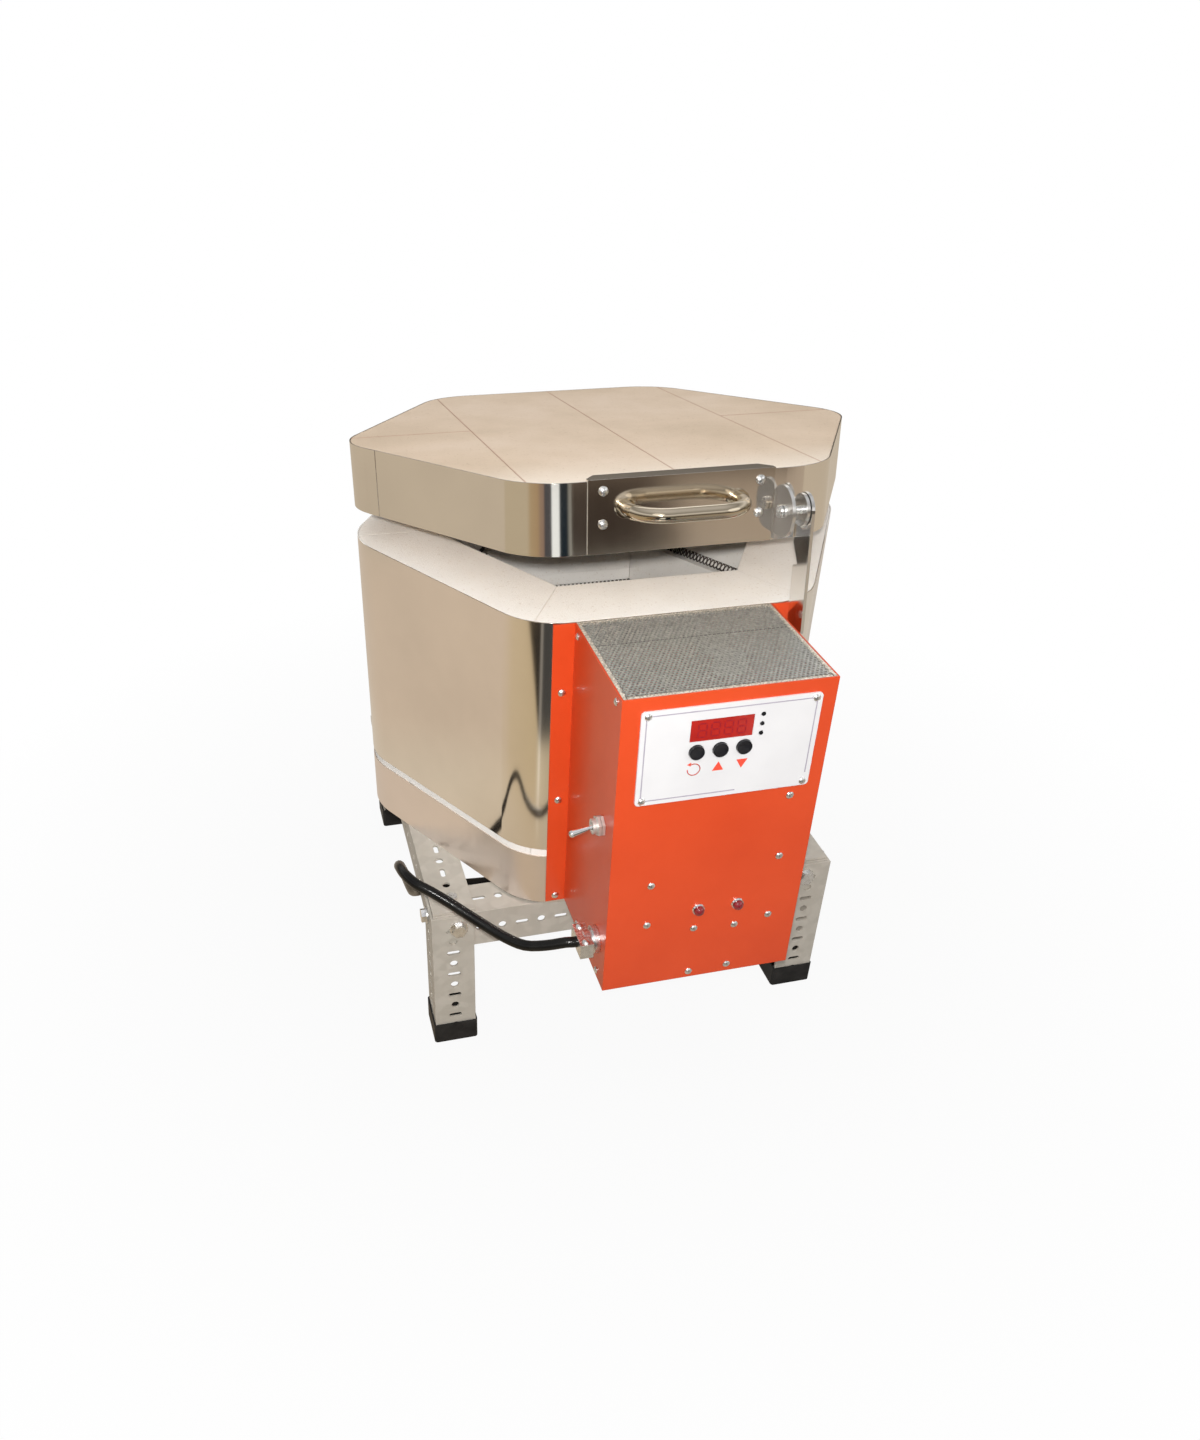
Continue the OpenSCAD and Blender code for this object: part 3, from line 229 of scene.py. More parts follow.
plate_seen = ((turn - plate_start) * plate_spread + (blotch - 0.5) * 0.25).ramp(
    (0.0, (0.045, 0.033, 0.026)), (0.40, (0.045, 0.032, 0.025)), (0.50, (0.46, 0.38, 0.30)),
    (0.80, (0.44, 0.36, 0.28)), (1.0, (0.45, 0.37, 0.29)))
plate_seen = (reach + blotch).eased(5.7, 6.3).blend(plate_seen, (0.17, 0.13, 0.10))
in_plate = reach.eased(*plate_ring) * (turn > plate_turns[0]) * (turn < plate_turns[1])
streaks = reach.eased(*lid_ring).blend(
    reach.eased(*foot_ring).blend(foot_seen, jacket_seen), lid_seen)
streaks = in_plate.blend(streaks, plate_seen)
streaks = reach.eased(*far_ring).blend(streaks, (0.10, 0.08, 0.06))
mirrored = put(tree, "ShaderNodeEmission", {}, {"Color": streaks, "Strength": 1.0})
white = put(tree, "ShaderNodeEmission", {}, {"Color": (1, 1, 1, 1), "Strength": 1.0})
matt = put(tree, "ShaderNodeBsdfDiffuse", {}, {"Color": (0.30, 0.29, 0.28, 1)})
clear = reach.scaled(0.25, 0.8, low=0.94, high=1.0)
camera_share = put(tree, "ShaderNodeLightPath", output="Is Camera Ray") * clear
glossy_ray = put(tree, "ShaderNodeLightPath", output="Is Glossy Ray")
direct = put(tree, "ShaderNodeMixShader", {}, [camera_share, matt, white])
whole = put(tree, "ShaderNodeMixShader", {}, [glossy_ray, direct, mirrored])
put(tree, "ShaderNodeOutputMaterial", {}, {"Surface": whole})
floor.data.materials.append(paint)


class Finish:
    """A Principled material. Fixed values go on the shader, and wires vary what may vary."""

    def __init__(self, name, **fixed):
        self.material = bpy.data.materials.new(name)
        self.material.use_nodes = True
        self.tree = self.material.node_tree
        self.shader = self.tree.nodes["Principled BSDF"]
        for socket, value in fixed.items():
            self.shader.inputs[socket.replace("_", " ")].default_value = value
        self.place = put(self.tree, "ShaderNodeTexCoord", output="Object")

    def node(self, kind, settings=None, values=(), output=0):
        return put(self.tree, kind, settings, values, output)

    def grain(self, scale, detail=4.0, rough=0.5, stretch=(1, 1, 1)):
        spread = self.node("ShaderNodeVectorMath", {"operation": "MULTIPLY"},
                           [self.place, stretch])
        return self.node("ShaderNodeTexNoise", {}, {
            "Vector": spread, "Scale": scale, "Detail": detail, "Roughness": rough})

    def colours(self, scale, dark, pale, start=0.3, end=0.7, detail=4.0, rough=0.5):
        """Base colour that drifts between two tones in patches. Gives back the patches."""
        patches = self.grain(scale, detail, rough)
        self.feed(Base_Color=patches.ramp((start, dark), (end, pale)))
        return patches

    def feed(self, **wires):
        for socket, wire in wires.items():
            self.tree.links.new(wire.socket, self.shader.inputs[socket.replace("_", " ")])

    def relief(self, height, depth, edge=0.0004):
        """Bump of a real depth in metres, over edges that look broken by a small radius."""
        soft = self.node("ShaderNodeBevel", {"samples": 4}, {"Radius": edge})
        self.feed(Normal=self.node("ShaderNodeBump", {}, {
            "Height": height, "Distance": depth, "Strength": 1.0, "Normal": soft}))

    def on(self, *names):
        for name in names:
            piece = cad[name] if isinstance(name, str) else name
            piece.data.materials.clear()
            piece.data.materials.append(self.material)
            if hasattr(piece.data, "polygons"):
                for polygon in piece.data.polygons:
                    polygon.material_index = 0


# Power cord: 9 mm black rubber cable out of the clamp on the box's left, over the stand and
# under the kiln to a neat coil close behind it. The rest of its 1.8 m is in the coil.
cord_r = 0.0045
cord_exit = Vector((-0.0897, -0.2375, 0.196))
cord_route = [(-106, -236, 195.5), (-121, -230, 190), (-136, -222, 186), (-149, -211, 187),
              (-162, -199, 191), (-176, -187, 197), (-190, -176, 204), (-203, -168, 211),
              (-214, -160, 215), (-221, -147, 216), (-223, -130, 211), (-221, -112, 198),
              (-217, -96, 180), (-212, -80, 157), (-207, -64, 132), (-202, -48, 113),
              (-190, -38, 105.5), (-170, -34, 103), (-150, -32, 101), (-131, -30, 98),
              (-113, -18, 88), (-101, 2, 71), (-93, 26, 50), (-87, 50, 29), (-82, 74, 12.5),
              (-78, 98, 7), (-74, 124, 6), (-68, 154, 6), (-61, 184, 6), (-52, 216, 6),
              (-42, 248, 6), (-35, 276, 6)]
coil_middle, coil_r, coil_step, coil_z = Vector((0.051, 0.325, 0)), 0.083, 0.011, 0.0059
coil_n = 24  # places in one turn


def coil_spot(turns, r, z):
    """A place in the coil, so many turns from its start."""
    angle = math.pi - 2 * math.pi * turns
    return coil_middle + Vector((r * math.cos(angle), r * math.sin(angle), z))


def curved(points, i, t):
    """A place on a smooth curve through the points, a share t of the way past point i."""
    a, b, c, d = (points[min(max(k, 0), len(points) - 1)] for k in (i - 1, i, i + 1, i + 2))
    return 0.5 * (2 * b + (c - a) * t + (2 * a - 5 * b + 4 * c - d) * t * t
                  + (3 * b - a - 3 * c + d) * t ** 3)


coil_in = [coil_spot(k / coil_n, coil_r - coil_step * k / coil_n, coil_z)
           for k in range(coil_n + 1)]
coil_up = [coil_spot(1 + k / coil_n, coil_r - coil_step,
                     coil_z + coil_step * (1 - math.cos(2 * math.pi * k / coil_n)) / 2)
           for k in range(1, coil_n // 2 + 1)]
coil_out = [coil_spot(1.5 + k / coil_n, coil_r - coil_step * (1 - k / coil_n), coil_z + coil_step)
            for k in range(1, coil_n // 2 + 1)]
lead_way, lead_side, lead_l, plug_z = Vector((-28, 44, 0)).normalized(), -0.014, 0.044, 0.0143
lead = [coil_out[-1] + Vector((lead_side * t * t, lead_l * t,
                               (plug_z - coil_out[-1].z) * t * t * (3 - 2 * t)))
        for t in (0.25, 0.5, 0.75, 1)]
in_plug = 0.01
lead.append(lead[-1] + in_plug * lead_way)
loose = [cord_exit, cord_exit - Vector((0.01, 0, 0))]
loose += [Vector(p) / 1000 for p in cord_route]
loose += [coil_in[0] - Vector((0, 0.022, 0)), coil_in[0] - Vector((0, 0.0014, 0))]
steps = 3
path = [curved(loose, i, k / steps) for i in range(len(loose) - 1) for k in range(steps)]
path += coil_in + coil_up + coil_out + lead


def run_along(name, places, radius, roundness):
    """A round cable or wire through a list of places."""
    data = bpy.data.curves.new(name, "CURVE")
    data.dimensions = "3D"
    data.bevel_depth, data.bevel_resolution = radius, roundness
    spline = data.splines.new("POLY")
    spline.points.add(len(places) - 1)
    for point, place in zip(spline.points, places):
        point.co = (*place, 1)
    spline.use_smooth = True
    return placed(name, data)


cord = run_along("power_cord_seen", path, cord_r, 4)
cord.data.use_fill_caps = True
rubber = Finish("cord_rubber", Roughness=0.22, Specular_IOR_Level=0.22)
rubber.colours(60, (0.004, 0.004, 0.004), (0.009, 0.009, 0.008), start=0.35, end=0.75)
rubber.relief(rubber.grain(1400), 0.00008)
rubber.on(cord)
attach(cord, "kiln")
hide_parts("power_cord", "cord_coil")
cord_l = sum((b - a).length for a, b in zip(path, path[1:]))

# Plug and strap: a moulded black plastic plug with two flat blades and a round earth pin of
# plated brass. The black strap holds the coil's two layers together.
moulded = Finish("moulded_black", Roughness=0.38)
moulded.colours(90, (0.012, 0.012, 0.013), (0.03, 0.03, 0.03), start=0.3, end=0.8)
moulded.relief(moulded.grain(2500), 0.00006)
moulded.on("plug", "cord_tie")
brass = Finish("plated_brass", Metallic=1.0, Roughness=0.3)
brass.colours(300, (0.72, 0.60, 0.32), (0.80, 0.70, 0.44))
brass.relief(brass.grain(900), 0.00003)
brass.on("plug_blades")

# Firebrick: soft cream insulating brick full of fine pores, sawn flat and cemented at its
# joints. The lid has browned with heat; its paler front edge is painted light from the flash.
# Its joints show as fine brown lines: three between its courses and one across each side course.
hinge_y, hinge_z, open_by = 0.202673, 0.4292, math.radians(7.4)
course, cross_joint_y = 0.1143, 0.015


def firebrick(name, dark, mid, pale, front=None):
    """Brick in three tones. A front tone, painted light on the lid's near edge, makes it the lid's,
    with its joints drawn.
    """
    brick = Finish(name, Roughness=0.93, Specular_IOR_Level=0.2)
    pores = brick.grain(1100, 2, 0.6)
    freckles = brick.grain(420, 3, 0.7)
    tone = brick.grain(9, 5, 0.6).ramp((0.30, dark), (0.52, mid), (0.74, pale))
    if front:
        across, depth, up = (brick.place.axis(letter) for letter in "XYZ")
        # Painted light: the lid turns paler towards its front edge, where the flash lights it most
        flash_lit_front = (depth + brick.grain(7) * 0.05).eased(-0.02, -0.13)
        tone = flash_lit_front.blend(tone, front)
        # Depth measured along the tilted lid, from the hinge
        along = ((depth - (kiln_y + hinge_y)) * math.cos(open_by)
                 - (up - hinge_z) * math.sin(open_by) + hinge_y)
        from_middle = abs(across)
        seam = from_middle.maths("MINIMUM", abs(from_middle - course))
        cross_seam = abs(along - cross_joint_y) * 0.5 + (from_middle < course)
        seam = seam.maths("MINIMUM", cross_seam)
        line_w = brick.grain(90) * 0.0006 + 0.0004
        tone = ((seam < line_w) * 0.6).blend(tone, (0.60, 0.36, 0.26))
    specks = freckles.ramp((0.28, (0.60, 0.50, 0.40)), (0.40, (1, 1, 1)), (0.66, (1, 1, 1)),
                           (0.76, (1.08, 1.07, 1.06)))
    brick.feed(Base_Color=brick.node(
        "ShaderNodeMix", {"data_type": "RGBA", "blend_type": "MULTIPLY"},
        {0: 0.5, 6: tone, 7: specks}, output=2))
    brick.relief(pores + freckles * 0.6, 0.00035, edge=0.0012)
    return brick


wall_brick = firebrick("firebrick", (0.84, 0.80, 0.74), (0.90, 0.87, 0.82), (0.94, 0.92, 0.88))
wall_brick.on("wall_bricks", "floor_slab")
lid_brick = firebrick("lid_firebrick", (0.68, 0.54, 0.40), (0.76, 0.61, 0.465),
                      (0.82, 0.675, 0.54), front=(0.93, 0.83, 0.71))
lid_brick.on("lid_bricks")

# Cement: the thin bed in the six mitred joints of the wall, trowelled in as the bricks are
# stood up and struck off a hair below their faces. It dries a little darker than the brick.
side, wall, sheet, seat, groove = 0.2286, 0.0635, 0.0008, 0.0002, 0.0127
rim_z, wall_z = 0.429, 0.2004
mitre = math.cos(math.radians(30))
flat = side * mitre
joint_t, back_in, face_in, end_in = 0.00036, 0.016, 0.0095, 0.0004
inner_r = (flat - sheet - seat - wall) / mitre + back_in
outer_r = (flat - sheet - seat) / mitre - face_in


def piece_from(name, shape):
    """A new object whose mesh is the shape that has been built up."""
    mesh = bpy.data.meshes.new(name)
    shape.to_mesh(mesh)
    shape.free()
    return placed(name, mesh)


def block(shape, low, high, turned=Matrix()):
    """Adds a plain block between two corners."""
    low, high = Vector(low), Vector(high)
    bmesh.ops.create_cube(shape, size=1, matrix=turned @ Matrix.Translation((low + high) / 2)
                          @ Matrix.Diagonal((*(high - low), 1)))


joints = bmesh.new()
for k in range(6):
    turned = Matrix.Translation((0, kiln_y, 0)) @ Matrix.Rotation(math.radians(60 * k), 4, "Z")
    block(joints, (inner_r, -joint_t / 2, wall_z + end_in), (outer_r, joint_t / 2, rim_z - end_in),
          turned)
cement = piece_from("brick_cement", joints)
cement_mix = Finish("cement", Roughness=0.95, Specular_IOR_Level=0.2)
cement_mix.colours(200, (0.70, 0.60, 0.49), (0.78, 0.70, 0.60))
cement_mix.on(cement)
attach(cement, "kiln")

# Jacket and lid band: thin stainless sheet, polished nearly to a mirror and rolled round the
# bricks, so it ripples a little and has faint upright rolling lines.
def polished(name, tone, rough, ripple):
    """Steel of one tone and roughness, whose sheet ripples by a real depth in metres."""
    steel = Finish(name, Metallic=1.0)
    rolling = steel.grain(60, 3, 0.6, stretch=(1, 1, 0.05))
    low, high = (tuple(c * k for c in tone) for k in (0.93, 1.04))
    smears = steel.colours(7, low, high, detail=4, rough=0.6)
    steel.feed(Roughness=rolling * 0.04 + smears * 0.10 + (rough - 0.07))
    steel.relief(steel.grain(5, 2, 0.4) + rolling * 0.004, ripple)
    return steel


jacket_steel = polished("jacket_steel", (0.90, 0.86, 0.80), 0.105, 0.0006)
jacket_steel.on("jacket")
band_steel = polished("band_steel", (0.88, 0.83, 0.76), 0.09, 0.0004)
band_steel.on("lid_band")
tray_steel = polished("tray_steel", (0.94, 0.86, 0.82), 0.36, 0.00012)
# Painted shade: the tray's upward faces, its lip most of all, get a darker, browner tone to hold down
# the sky and flash they mirror
facing = tray_steel.node("ShaderNodeNewGeometry", output="True Normal")
dimmed_top = facing.axis("Z") > 0.5
tray_tone = tray_steel.grain(7, 4, 0.6).ramp((0.3, (0.87, 0.80, 0.76)), (0.7, (0.97, 0.89, 0.85)))
tray_steel.feed(Base_Color=dimmed_top.blend(tray_tone, (0.74, 0.64, 0.56)))
tray_steel.on("base_tray")
# Painted reflection: the handle's steel is darker and browner than the rest, for the dark room and
# plate that it mirrors
darkened_bar_steel = polished("darkened_bar_steel", (0.60, 0.52, 0.40), 0.08, 0.0002)
darkened_bar_steel.on("handle")
plate_steel = polished("plate_steel", (0.78, 0.72, 0.64), 0.09, 0.0002)
plate_steel.on("handle_plate")
bracket_steel = polished("bracket_steel", (0.80, 0.79, 0.77), 0.24, 0.0002)
bracket_steel.on("catch_bracket", "hinge_body_leaf", "hinge_lid_leaf")

# Catch arm: a flat polished steel bar, round over its pivot and hanging square to the lid. The
# notch in its back edge is probably what the lid is propped on. The notch's upper corner is
# eased so that the arm swings clear of the controller box when the lid is shut.
pivot_y, pivot_z, arm_r = -0.2125, 0.025, 0.01325
front_y, back_y, foot_z = pivot_y - arm_r, -0.2020, -0.0680
arm_low, arm_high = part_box("catch_arm")
round_top = [(pivot_y + arm_r * math.cos(math.radians(a)), pivot_z + arm_r * math.sin(math.radians(a)))
             for a in range(0, 181, 10)]
foot = [(front_y, foot_z + 0.0025), (front_y + 0.00075, foot_z + 0.0005),
        (front_y + 0.00275, foot_z), (back_y - 0.0027, foot_z),
        (back_y - 0.0007, foot_z + 0.0005), (back_y, foot_z + 0.0025)]
notch = [(back_y, -0.0205), (-0.2032, -0.0190), (-0.2085, -0.0180), (-0.2097, -0.0165),
         (-0.2006, -0.0030), (-0.2002, 0.0015), (pivot_y + arm_r, 0.0035)]


def on_lid(x, y, z):
    """A place given on the closed lid, where it is with the lid propped."""
    dy, dz = y - hinge_y, z - seat
    return (x, kiln_y + hinge_y + dy * math.cos(open_by) + dz * math.sin(open_by),
            hinge_z - dy * math.sin(open_by) + dz * math.cos(open_by))


def slab(shape, front, rear):
    """Adds a flat piece: one outline in front, the same behind, and its edge between them."""
    front = [shape.verts.new(spot) for spot in front]
    rear = [shape.verts.new(spot) for spot in rear]
    shape.faces.new(front)
    shape.faces.new(rear[::-1])
    for k in range(len(front)):
        n = (k + 1) % len(front)
        shape.faces.new((front[n], front[k], rear[k], rear[n]))


arm = bmesh.new()
slab(arm, *([on_lid(x, y, z) for y, z in round_top + foot + notch]
            for x in (arm_low.x, arm_high.x)))
bmesh.ops.recalc_face_normals(arm, faces=arm.faces)
catch_arm = piece_from("catch_arm_seen", arm)
arm_steel = polished("arm_steel", (0.80, 0.79, 0.77), 0.13, 0.0001)
arm_steel.on(catch_arm)
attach(catch_arm, "catch")
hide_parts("catch_arm")

# Heating element: a close coil of dark wire lying in its groove, three turns round the
# chamber with a step at the front, where its tails go through the wall to two pins.
element_flat = flat - sheet - seat - wall + groove / 2
curl_r, wire_r, drop_w, pitch = 0.0040, 0.0007, 0.034, 0.0044
rings, sunk, tail = 10, 0.00105, 0.01
line = []
for level in range(3):
    z = rim_z - course * (2 / 3 + level / 2)
    line.append(Vector((drop_w / 4, -element_flat, z)))
    for i in range(-1, 5):
        corner = element_flat / mitre
        line.append(Vector((corner * math.cos(math.radians(60 * i)),
                            corner * math.sin(math.radians(60 * i)), z)))
    line.append(Vector((-drop_w / 4, -element_flat, z)))
curls = []
travelled = 0.0
total = sum((b - a).length for a, b in zip(line, line[1:]))
for a, b in zip(line, line[1:]):
    length = (b - a).length
    for k in range(int(length / pitch * rings)):
        s = k * pitch / rings
        p = a.lerp(b, s / length)
        out = Vector((p.x, p.y, 0)).normalized()
        angle = 2 * math.pi * (travelled + s) / pitch
        fade = min(1, (travelled + s) / tail, (total - travelled - s) / tail)
        curls.append(p + Vector((0, kiln_y, -sunk)) + fade * curl_r
                     * (math.cos(angle) * out + Vector((0, 0, math.sin(angle)))))
    travelled += length
coil = run_along("heating_coil", curls, wire_r, 1)
wire = Finish("element_wire", Metallic=0.6, Roughness=0.6)
wire.colours(150, (0.07, 0.06, 0.055), (0.17, 0.14, 0.12))
wire.on(coil)
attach(coil, "kiln")
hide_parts("heating_element")

# Sleeves, probe and terminal block: white ceramic, slightly glazed, pressed and fired. The
# sleeves sit in holes bored through the wall and keep the element's tails off the steel.
ceramic = Finish("white_ceramic", Roughness=0.4)
ceramic.colours(80, (0.76, 0.74, 0.69), (0.86, 0.85, 0.81))
ceramic.relief(ceramic.grain(700), 0.00005)
ceramic.on("terminal_sleeves", "thermocouple", "terminal_block")

# Zinc-plated steel: the screws, the element's pins, the cord clamp, and the bolts, rivets and
# hinge pin. The plating is bright and slightly clouded, but not polished.
zinc = Finish("zinc_plate", Metallic=1.0)
cloud = zinc.colours(260, (0.68, 0.68, 0.68), (0.90, 0.90, 0.89), detail=3)
zinc.feed(Roughness=cloud * 0.15 + 0.2)
zinc.relief(zinc.grain(1500), 0.00003)
zinc.on("terminal_pins", "cord_clamp", "panel_screws", "faceplate_screws", "flange_screws",
        "box_side_screws", "stand_bolts", "handle_rivets", "catch_screws", "catch_pin",
        "hinge_pin", "hinge_body_screws", "hinge_lid_screws")

# Controller box: folded sheet steel with a red-orange baked enamel, smooth and fairly glossy,
# with a very fine orange-peel texture.
enamel = Finish("orange_enamel", Roughness=0.36, Coat_Weight=0.12, Coat_Roughness=0.12)
enamel.colours(14, (0.60, 0.056, 0.010), (0.65, 0.066, 0.013), detail=4, rough=0.6)
enamel.relief(enamel.grain(220, 2), 0.00001, edge=0.0006)
enamel.on("control_box")

# Top grille: grey perforated sheet steel with small staggered holes, dropped between the box's
# walls and folded down at both sides. Its cut edges are bare and bright, and a dark line is
# painted across it as painted shade, where the sheet is creased along a fold.
low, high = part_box("grille_top")
hole_pitch, hole_r, sheet_t, margin = 0.0034, 0.00132, 0.001, 0.0018
fold_h, lap, fold_y = 0.014, (0.0008, 0.0006), -0.1795
row_h = hole_pitch * mitre
rows = int((high.y - low.y - 2 * margin) / row_h)
columns = int((high.x - low.x - 2 * margin) / hole_pitch)
mid_x, mid_y = (low.x + high.x) / 2, (low.y + high.y) / 2
cell = hole_pitch / 2 / mitre
grid = bmesh.new()
for j in range(rows):
    for i in range(columns - j % 2):
        x = mid_x + (i - (columns - 1 - j % 2) / 2) * hole_pitch
        y = mid_y + (j - (rows - 1) / 2) * row_h
        inner, outer = ([grid.verts.new((x + r * math.cos(a), y + r * math.sin(a), high.z))
                         for a in (math.radians(60 * k + 30) for k in range(6))]
                        for r in (hole_r, cell))
        for k in range(6):
            n = (k + 1) % 6
            grid.faces.new((inner[k], outer[k], outer[n], inner[n]))
bmesh.ops.remove_doubles(grid, verts=grid.verts, dist=0.00005)
grille = piece_from("grille_sheet", grid)
thick = grille.modifiers.new("sheet", "SOLIDIFY")
thick.thickness, thick.offset = sheet_t, -1
holes_low = (mid_x - columns / 2 * hole_pitch, mid_y - rows / 2 * row_h)
holes_high = (mid_x + columns / 2 * hole_pitch, mid_y + rows / 2 * row_h)
folds = bmesh.new()
for x0, x1, y0, y1, depth in (
        (low.x, low.x + sheet_t, low.y, high.y, fold_h),
        (high.x - sheet_t, high.x, low.y, high.y, fold_h),
        (low.x + sheet_t, holes_low[0] + lap[0], low.y, high.y, sheet_t),
        (holes_high[0] - lap[0], high.x - sheet_t, low.y, high.y, sheet_t),
        (holes_low[0], holes_high[0], low.y, holes_low[1] + lap[1], sheet_t),
        (holes_low[0], holes_high[0], holes_high[1] - lap[1], high.y, sheet_t)):
    block(folds, (x0, y0, high.z - depth), (x1, y1, high.z))
grille_folds = piece_from("grille_folds", folds)
grey = Finish("grille_grey", Metallic=0.75)
mottle = grey.grain(400, 3)
# Painted shade: a dark line across the sheet, where it is creased along a fold
crease_shade = abs(grey.place.axis("Y") - fold_y) < 0.0009
grey_tone = mottle.ramp((0.3, (0.42, 0.42, 0.40)), (0.7, (0.66, 0.66, 0.62)))
grey.feed(Base_Color=(crease_shade * 0.5).blend(grey_tone, (0.10, 0.10, 0.10)),
          Roughness=mottle * 0.2 + 0.32)
grey.on(grille)
cut_edge = Finish("grille_cut_edge", Metallic=0.4)
nicks = cut_edge.colours(700, (0.42, 0.38, 0.32), (0.86, 0.80, 0.70), start=0.35, end=0.62, detail=2)
cut_edge.feed(Roughness=nicks * 0.2 + 0.3)
cut_edge.on(grille_folds)
for piece in (grille, grille_folds):
    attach(piece, "kiln")
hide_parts("grille_top")

# Faceplate: a thin white plate with rounded corners, screwed to the box's front at its four
# corners. Printed on it are a fine grey rule round its edge and, under the keys, a turning
# arrow and two triangles.
printed = Finish("white_face", Roughness=0.36)
printed.colours(30, (0.66, 0.66, 0.67), (0.70, 0.70, 0.71))
printed.relief(printed.grain(900), 0.00002)
printed.on("faceplate")
plate_low, plate_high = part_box("faceplate")
ink_t, ink_in = 0.00012, 0.0001


def print_flat(name, outlines, face_y, finish):
    """Thin shapes printed on a front face; each outline is a list of (x, z)."""
    ink = bmesh.new()
    for outline in outlines:
        slab(ink, *([(x, y, z) for x, z in outline] for y in (face_y - ink_t, face_y + ink_in)))
    bmesh.ops.recalc_face_normals(ink, faces=ink.faces)
    piece = piece_from(name, ink)
    finish.on(piece)
    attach(piece, "kiln")


def bar(x0, z0, x1, z1, w):
    """The outline of a straight stroke of width w, square at both ends."""
    along = Vector((x1 - x0, z1 - z0)).normalized() * w / 2
    across = Vector((-along.y, along.x))
    a, b = Vector((x0, z0)) - along, Vector((x1, z1)) + along
    return [tuple(a - across), tuple(b - across), tuple(b + across), tuple(a + across)]


red_ink = Finish("red_ink", Roughness=0.45)
red_ink.colours(200, (0.72, 0.06, 0.03), (0.80, 0.09, 0.05))
grey_ink = Finish("grey_ink", Roughness=0.45)
grey_ink.colours(200, (0.34, 0.31, 0.38), (0.40, 0.37, 0.43))
rule_in, rule_w, rule_gap, rule_end = (0.0040, 0.0038), 0.0009, 0.008, 0.010
left, right = plate_low.x + rule_in[0], plate_high.x - rule_in[0]
top, bottom = plate_high.z - rule_in[1], plate_low.z + rule_in[1]
print_flat("face_rule", [bar(left, top, right, top, rule_w), bar(left, top, left, bottom, rule_w),
                         bar(right, top, right, bottom + rule_gap, rule_w),
                         bar(left, bottom, rule_end, bottom, rule_w)],
           plate_low.y, grey_ink)
marks_z, arrow_x, up_x, down_x = 0.3665, -0.0235, -0.005, 0.013
ring_r, ring_w, tip_h, half_w = 0.0048, 0.0007, 0.0076, 0.0043
arc = []
for k in range(21):
    a = math.radians(120 - 15 * k)
    arc.append((arrow_x + ring_r * math.cos(a), marks_z + ring_r * math.sin(a)))
arrow_head = [(arrow_x - 0.0055, marks_z + 0.0046), (arrow_x - 0.0023, marks_z + 0.0062),
              (arrow_x - 0.0025, marks_z + 0.0030)]
marks = [bar(*a, *b, ring_w) for a, b in zip(arc, arc[1:])] + [arrow_head]
for x, base_z, tip_z in ((up_x, marks_z - 0.0032, marks_z - 0.0032 + tip_h),
                         (down_x, marks_z + 0.0040, marks_z + 0.0040 - tip_h)):
    marks.append([(x - half_w, base_z), (x + half_w, base_z), (x, tip_z)])
print_flat("key_marks", marks, plate_low.y, red_ink)

# Display window: a glossy dark red plastic filter in a cut-out of the faceplate.
# Its four figures are unlit and only just show.
glass = Finish("display_red", Roughness=0.16, Coat_Weight=0.6, Coat_Roughness=0.05)
glass.colours(120, (0.36, 0.014, 0.010), (0.42, 0.019, 0.013))
glass.on("display_window")
ghost = Finish("unlit_figures", Roughness=0.3)
ghost.colours(200, (0.25, 0.006, 0.012), (0.29, 0.008, 0.016))
window_low, window_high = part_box("display_window")
figure_w, figure_h, figure_pitch, stroke, stroke_gap = 0.0062, 0.0112, 0.0098, 0.0009, 0.0012
centre_x, centre_z = (window_low.x + window_high.x) / 2, (window_low.z + window_high.z) / 2
segments = []
for i in range(4):
    x = centre_x + (i - 1.5) * figure_pitch - figure_w / 2
    for z in (centre_z - figure_h / 2, centre_z, centre_z + figure_h / 2):
        segments.append(bar(x + stroke_gap, z, x + figure_w - stroke_gap, z, stroke))
    for z in (centre_z - figure_h / 2, centre_z):
        for dx in (0, figure_w):
            segments.append(bar(x + dx, z + stroke_gap, x + dx, z + figure_h / 2 - stroke_gap,
                                stroke))
print_flat("display_figures", segments, window_low.y, ghost)

# Keys and small round lamps: glossy black plastic, pushed through holes in the faceplate.
# The relay's case and the four foot caps are satin black plastic; the caps push on the legs.
gloss_black = Finish("gloss_black", Roughness=0.2, Specular_IOR_Level=0.25)
gloss_black.colours(200, (0.008, 0.008, 0.010), (0.018, 0.018, 0.020))
gloss_black.relief(gloss_black.grain(1500), 0.00002)
gloss_black.on("key_start", "key_up", "key_down", "led_lamps")
satin_black = Finish("satin_black", Roughness=0.5, Specular_IOR_Level=0.12)
satin_black.colours(90, (0.012, 0.012, 0.012), (0.028, 0.027, 0.026))
satin_black.relief(satin_black.grain(1200), 0.00005)
satin_black.on("power_relay", "foot_caps")

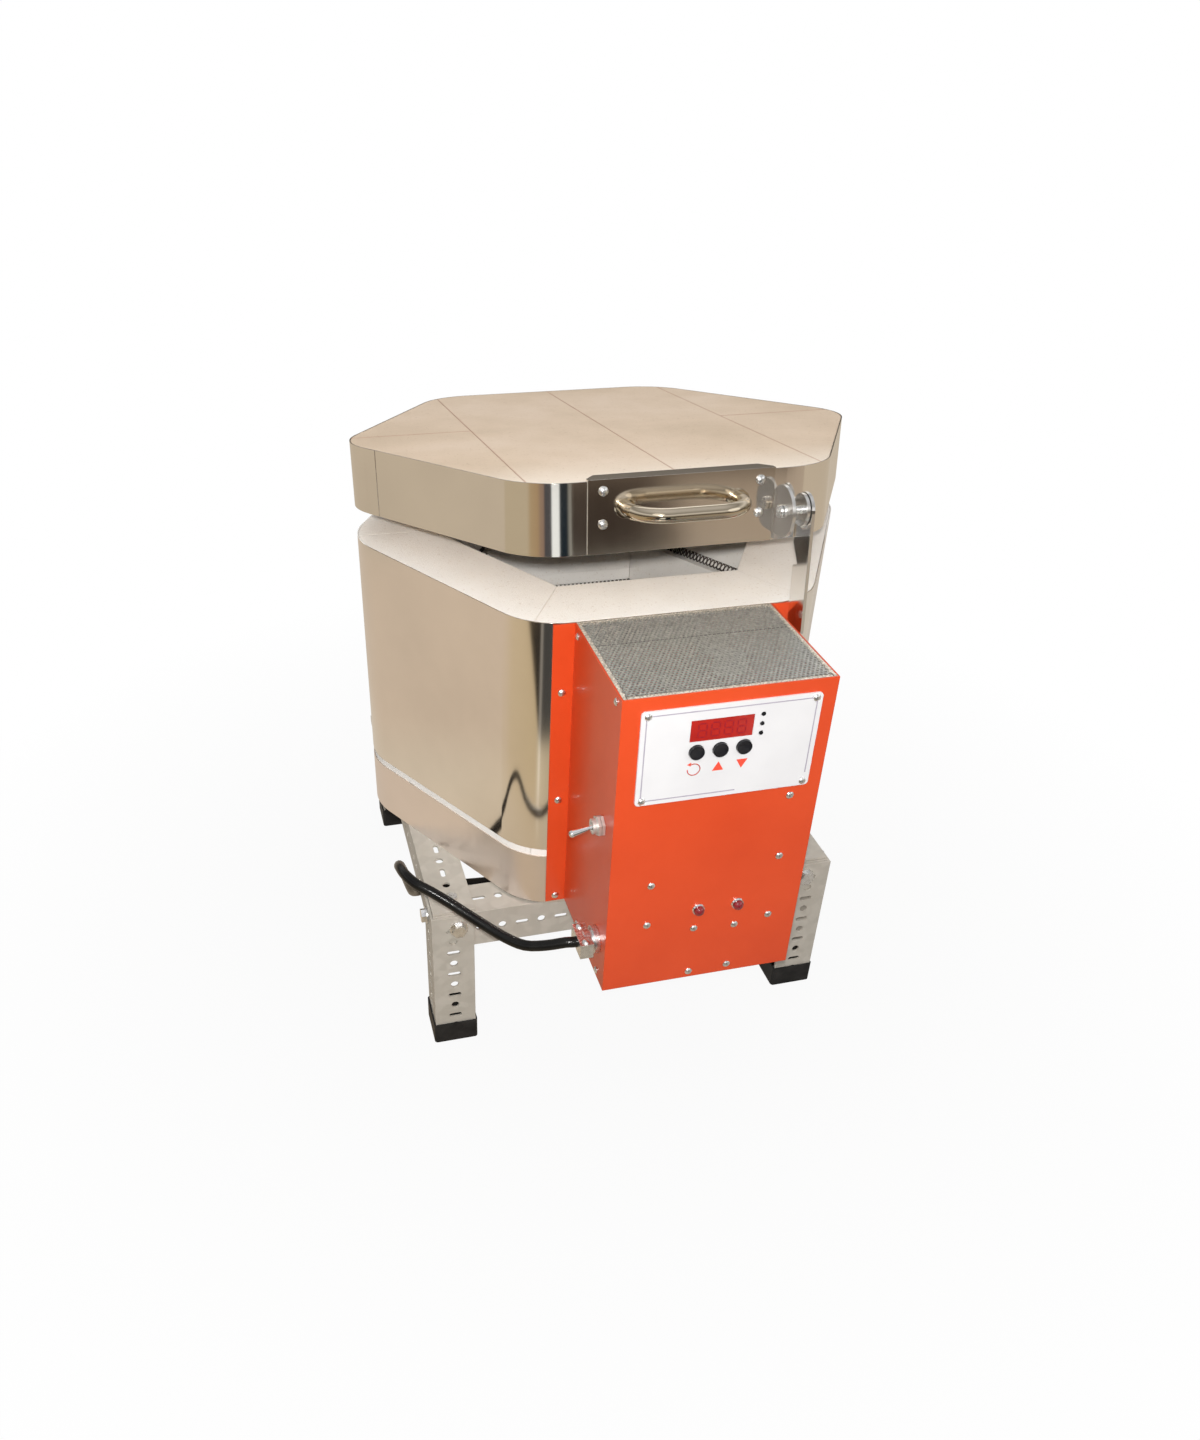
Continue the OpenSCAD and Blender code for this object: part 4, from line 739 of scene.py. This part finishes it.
# Pilot lights and toggle: clear red plastic lenses pressed into bright plated rings, and the
# toggle's bright plated lever. Its two nickel-plated nuts clamp it to the box's side.
lens = Finish("red_lens", Roughness=0.12, Coat_Weight=0.7, Coat_Roughness=0.05)
lens.colours(300, (0.13, 0.006, 0.012), (0.26, 0.012, 0.020))
lens.on("pilot_lenses")
bright = Finish("bright_plating", Metallic=1.0, Roughness=0.12)
bright.colours(200, (0.82, 0.82, 0.83), (0.93, 0.93, 0.94))
bright.on("pilot_bezels", "toggle_lever")
nickel = Finish("nickel_plate", Metallic=0.7, Roughness=0.35)
nickel.colours(300, (0.62, 0.60, 0.56), (0.76, 0.74, 0.70))
nickel.relief(nickel.grain(900), 0.00003)
nickel.on("toggle_nuts")

# Toggle body: a black moulding inside the box, with its threaded and plated neck pushed out
# through a hole in the box's side.
box_side_x = -0.0800
switch = Finish("switch_body", Roughness=0.38)
outside = switch.place.axis("X") < box_side_x
neck = switch.grain(250).ramp((0.3, (0.62, 0.60, 0.56)), (0.7, (0.78, 0.76, 0.72)))
switch.feed(Base_Color=outside.blend((0.02, 0.02, 0.02), neck), Metallic=outside * 0.75)
switch.on("toggle_body")

# Controller board: green glass-fibre laminate with its parts soldered on, screwed inside the
# box. Only a little of it shows, through the grille.
board = Finish("board_green", Roughness=0.45)
board.colours(500, (0.02, 0.12, 0.05), (0.03, 0.17, 0.07), start=0.4, end=0.6)
board.relief(board.grain(1800), 0.00005)
board.on("controller_board")

# Stand: slotted steel angle, galvanised, cut to length and bolted at its corners. It is dull
# grey with a soft spangle and a little stained.
galvanised = Finish("galvanised", Metallic=0.2)
spangle = galvanised.node("ShaderNodeTexVoronoi", {"feature": "SMOOTH_F1"}, {
    "Vector": galvanised.place, "Scale": 130.0, "Smoothness": 0.5}, output="Color")
spangle = galvanised.node("ShaderNodeSeparateColor", {}, [spangle])
stain = galvanised.grain(22, 4, 0.6)
tone = spangle.blend((0.46, 0.435, 0.38), (0.54, 0.51, 0.45))
stained = stain.scaled(0.5, 0.75, high=0.35)
galvanised.feed(Base_Color=stained.blend(tone, (0.46, 0.42, 0.35)),
                Roughness=spangle * 0.08 + stain * 0.15 + 0.36)
galvanised.relief(stain + spangle * 0.05, 0.00008)
galvanised.on("front_rail", "rear_rail", "left_rail", "right_rail", "leg_front_left",
              "leg_front_right", "leg_rear_left", "leg_rear_right")
